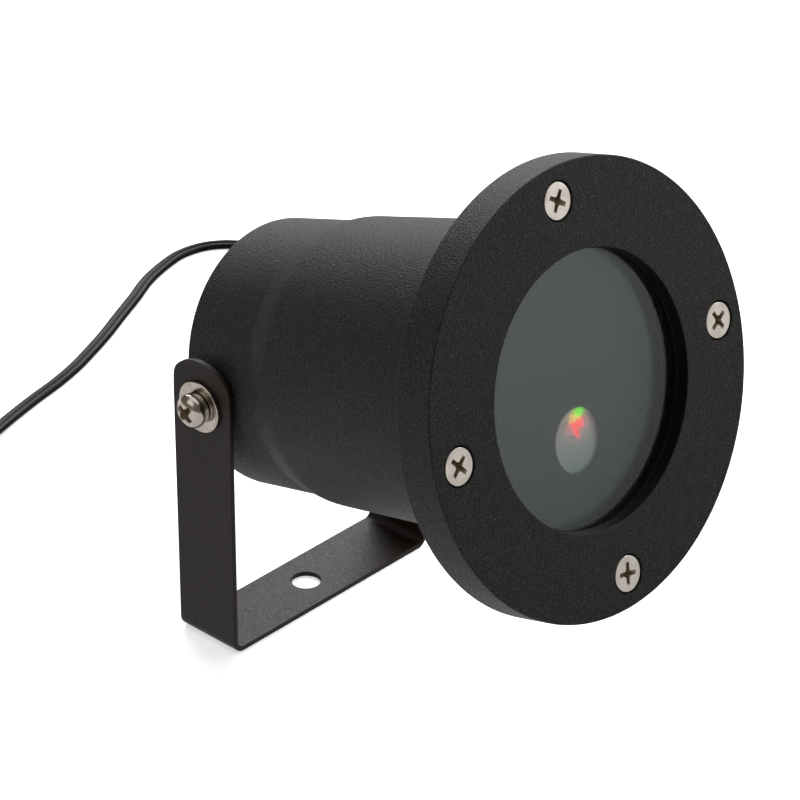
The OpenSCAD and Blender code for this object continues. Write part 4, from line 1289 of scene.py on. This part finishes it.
@dataclass
class Gland:
    """The cable gland at the back of the head. Its cap nut is new, a hexagon under a dome.

    The dome's rows give the radius and the height over the hexagon.
    """

    nut_flat: float = 13.0
    bore_r: float = 2.4
    chamfer: float = 0.7
    bevel: float = 0.6
    shoulder: float = 0.8
    dome_h: float = 4.7
    mouth: tuple[float, float] = (0.2, 0.3)
    dome: tuple[tuple[float, float], ...] = ((6.3, 0), (6.2, 1.5), (5.4, 3), (4.3, 4.1))
    crown_r: float = 3.4

    def hexagon(self, flat: float, outline: Array, segments: int = 180) -> Array:
        """Returns a hexagonal body of turned outline.

        The radius at angle a is the least of the outline's own and the hexagon's,
        flat / 2 / cos(a within 30 degrees of a flat's middle), so the corners come chamfered.
        """
        a = np.linspace(0, 2 * np.pi, segments, endpoint=False)
        inside = (a + np.pi / 6) % (np.pi / 3) - np.pi / 6
        hexagon = flat / 2 / np.cos(inside)
        r = np.minimum(outline[:, 0][:, None], hexagon[None, :])
        return np.stack([r * np.cos(a), r * np.sin(a), outline[:, 1][:, None] + 0 * a], axis=-1)

    def build(self) -> None:
        """Makes the cap nut and dresses what stays CAD."""
        start, end = HEAD.span("gland_nut")
        foot = end - self.dome_h
        corner = self.nut_flat / math.sqrt(3)
        nut = np.array([
            (self.bore_r, start), (corner - self.chamfer, start), (corner, start + self.bevel),
            (corner, foot - self.shoulder), *((r, foot + z) for r, z in self.dome), (self.crown_r, end),
            (self.bore_r + self.mouth[0], end), (self.bore_r, end - self.mouth[1])])
        piece = sheet("gland_cap_nut", HEAD.place(self.hexagon(self.nut_flat, nut)), True, True)
        settle(piece, Body.HEAD, NYLON, "black_plastic", "gland_nut")
        for node in ("gland_body", "lock_nut"):
            FINISHER.dress(frame["nodes"][node], NYLON)
        FINISHER.dress(frame["nodes"]["gland_seal"], NITRILE)


class Insides:
    """What the closed housing holds, and small pieces whose CAD shape is right as it is."""

    FINISHES: dict[str, Finish] = {
        "optics_plate": MILLED_ALUMINIUM, "plate_screws": DULL_NICKEL, "gearbox": TURNED_BRASS,
        "motor_can": ZINC_STEEL, "motor_screws": DULL_NICKEL, "motor_shaft": ZINC_STEEL,
        "wheel_hub": NATURAL_NYLON, "grating_disc": GratingSkin("wheel_film"),
        "laser_block": MILLED_ALUMINIUM, "block_screws": DULL_NICKEL, "green_laser": TURNED_BRASS,
        "red_laser": TURNED_BRASS, "laser_lenses": LENS, "fold_mirror": SILVERING,
        "dichroic_filter": DICHROIC, "driver_board": SOLDER_MASK, "board_pillars": TURNED_BRASS,
        "board_screws": DULL_NICKEL, "capacitors": SLEEVE_BLUE, "inductor": ENAMELLED_COPPER,
        "chips": NYLON, "wire_headers": NATURAL_NYLON, "supply_terminal": TERMINAL_GREEN,
        "motor_leads": RED_VINYL, "laser_leads": VINYL, "inner_lead": VINYL,
        "cord_ties": NATURAL_NYLON, "plug_body": NYLON, "plug_barrel": BRIGHT_NICKEL,
        "plug_core": NYLON,
    }

    def build(self) -> None:
        """Dresses each node."""
        for node, finish in self.FINISHES.items():
            FINISHER.dress(frame["nodes"][node], finish)
            LOG.info("%s: CAD shape, %s", node, finish.name)


@dataclass(frozen=True)
class SoftBox:
    """A soft box that stands at a place and faces a point, in metres and watts."""

    name: str
    place: Place
    aim: Place
    size: tuple[float, float]
    power: float

    def build(self) -> None:
        """Makes the lamp."""
        data = bpy.data.lights.new(self.name, "AREA")
        data.shape, data.energy = "RECTANGLE", self.power
        data.size, data.size_y = self.size
        lamp = link_object(self.name, data)
        lamp.location = self.place
        lamp.rotation_euler = (Vector(self.aim) - Vector(self.place)).to_track_quat("-Z", "Y").to_euler()


@dataclass
class Studio:
    """The camera, the floor and the soft lights.

    The camera stands at an azimuth and elevation round the pivot, rolled a little, and shifted
    sideways and down so that the object sits in the frame as it does in the photograph.

    The floor has three looks. The camera sees pale paper. The glass and the glossy pieces mirror
    a plain glow that grows with the distance from the part and towards its left. All other rays
    meet a darker paper, so the floor throws less light on the part than it shows.
    """

    azimuth: float = -47.414
    elevation: float = 30.076
    roll: float = 0.26
    distance: float = 809.76
    right_mm: float = 22.072
    up_mm: float = -10.697
    lens: float = 159.19
    sensor_w: float = 36.0
    clip_start: float = 0.01
    floor_half: float = 6.0
    seen_shade: float = 0.93
    seen_glow: float = 0.5
    cast_shade: float = 0.62
    cast_glow: float = 0.28
    mirror_near: float = 0.62
    mirror_far: float = 1.1
    mirror_reach: tuple[float, float] = (0.15, 0.9)
    mirror_left: float = 0.36
    left_reach: float = 0.06
    sky: str = "#ffeedd"
    sky_strength: float = 0.19
    boxes: tuple[SoftBox, ...] = (
        SoftBox("top_box", (0.2, 0.1, 1.2), (0, 0, 0.05), (1.6, 1.6), 9),
        SoftBox("back_box", (0.95, 0.95, 0.95), (0, 0, 0.08), (1.5, 0.8), 26),
        SoftBox("left_box", (-0.85, 0.22, 0.75), (0, 0.02, 0.06), (0.8, 0.6), 2.0),
        SoftBox("right_box", (0.42, -0.14, 0.36), (0.04, -0.09, 0.1), (0.25, 0.25), 1.6),
        SoftBox("front_box", (0.30, -0.30, 0.18), (0.04, -0.09, 0.08), (0.1, 0.1), 0.12))

    def axes(self) -> tuple[Array, Array, Array]:
        """Returns the camera's right, up and backward directions."""
        az, el, roll = (math.radians(v) for v in (self.azimuth, self.elevation, self.roll))
        back = np.array([math.sin(az) * math.cos(el), -math.cos(az) * math.cos(el), math.sin(el)])
        right = unit(np.cross(-back, [0.0, 0.0, 1.0]))
        up = np.cross(right, -back)
        return (right * math.cos(roll) + up * math.sin(roll),
                up * math.cos(roll) - right * math.sin(roll), back)

    def camera(self) -> None:
        """Makes the scene's camera."""
        right, up, back = self.axes()
        place = HEAD.pivot + back * self.distance + right * self.right_mm + up * self.up_mm
        data = bpy.data.cameras.new("camera")
        data.lens, data.sensor_width, data.clip_start = self.lens, self.sensor_w, self.clip_start
        camera = link_object("camera", data)
        turned_to = Matrix(np.stack([right, up, back], axis=1).tolist()).to_4x4()
        camera.matrix_world = Matrix.Translation(Vector(mm(place))) @ turned_to
        bpy.context.scene.camera = camera

    def paper(self, tree: Tree, shade: float, glow: float) -> Socket:
        """Adds matt paper of a grey shade with an even glow and returns its shader."""
        node = add(tree, "ShaderNodeBsdfPrincipled", {
            "Base Color": (shade, shade, shade, 1.0), "Roughness": 0.9, "Specular IOR Level": 0.1,
            "Emission Color": (1.0, 1.0, 1.0, 1.0), "Emission Strength": glow})
        return node.outputs["BSDF"]

    def mirrored(self, tree: Tree, place: Socket) -> Socket:
        """Adds the glow that shows in reflections and through the glass, and returns its shader."""
        away = add(tree, "ShaderNodeVectorMath", {0: place}, operation="LENGTH")
        level = remap(tree, away.outputs["Value"], self.mirror_reach, (self.mirror_near, self.mirror_far))
        across = add(tree, "ShaderNodeSeparateXYZ", {"Vector": place})
        lift = remap(
            tree, across.outputs["X"], (-self.left_reach, self.left_reach), (self.mirror_left, 0.0))
        node = add(tree, "ShaderNodeEmission", {"Strength": calculate(tree, "ADD", level, lift)})
        return node.outputs["Emission"]

    def floor(self) -> None:
        """Makes the floor."""
        h = self.floor_half
        mesh = bpy.data.meshes.new("floor")
        mesh.from_pydata([(-h, -h, 0), (h, -h, 0), (h, h, 0), (-h, h, 0)], [], [(0, 1, 2, 3)])
        piece = link_object("floor", mesh)
        material, tree, place = start_material("pale_paper")
        path = add(tree, "ShaderNodeLightPath")
        bent = calculate(
            tree, "MAXIMUM", path.outputs["Is Glossy Ray"], path.outputs["Is Transmission Ray"])
        unseen = mix_shaders(
            tree, bent, self.paper(tree, self.cast_shade, self.cast_glow), self.mirrored(tree, place))
        seen = self.paper(tree, self.seen_shade, self.seen_glow)
        end_material(tree, mix_shaders(tree, path.outputs["Is Camera Ray"], unseen, seen))
        mesh.materials.append(material)

    def lights(self) -> None:
        """Sets the world's even light and the soft boxes."""
        world = bpy.data.worlds.new("studio")
        world.use_nodes = True
        world.node_tree.nodes.clear()
        sky = add(world.node_tree, "ShaderNodeBackground", {
            "Color": linear(self.sky), "Strength": self.sky_strength})
        add(world.node_tree, "ShaderNodeOutputWorld", {"Surface": sky.outputs["Background"]})
        bpy.context.scene.world = world
        for box in self.boxes:
            box.build()
        bpy.context.scene.view_settings.view_transform = "Standard"

    def build(self) -> None:
        """Makes the studio."""
        self.camera()
        self.floor()
        self.lights()


def main() -> None:
    """Builds the studio, the lead and the sub-assemblies in order."""
    logging.basicConfig(level=logging.INFO, format="%(name)s: %(message)s")
    for kind in (Studio, SupplyLead, Bezel, Window, Casting, Bracket, Pivots, Gland, Insides):
        kind().build()
        LOG.info("built %s", kind.__name__)


if __name__ == "__main__":
    main()
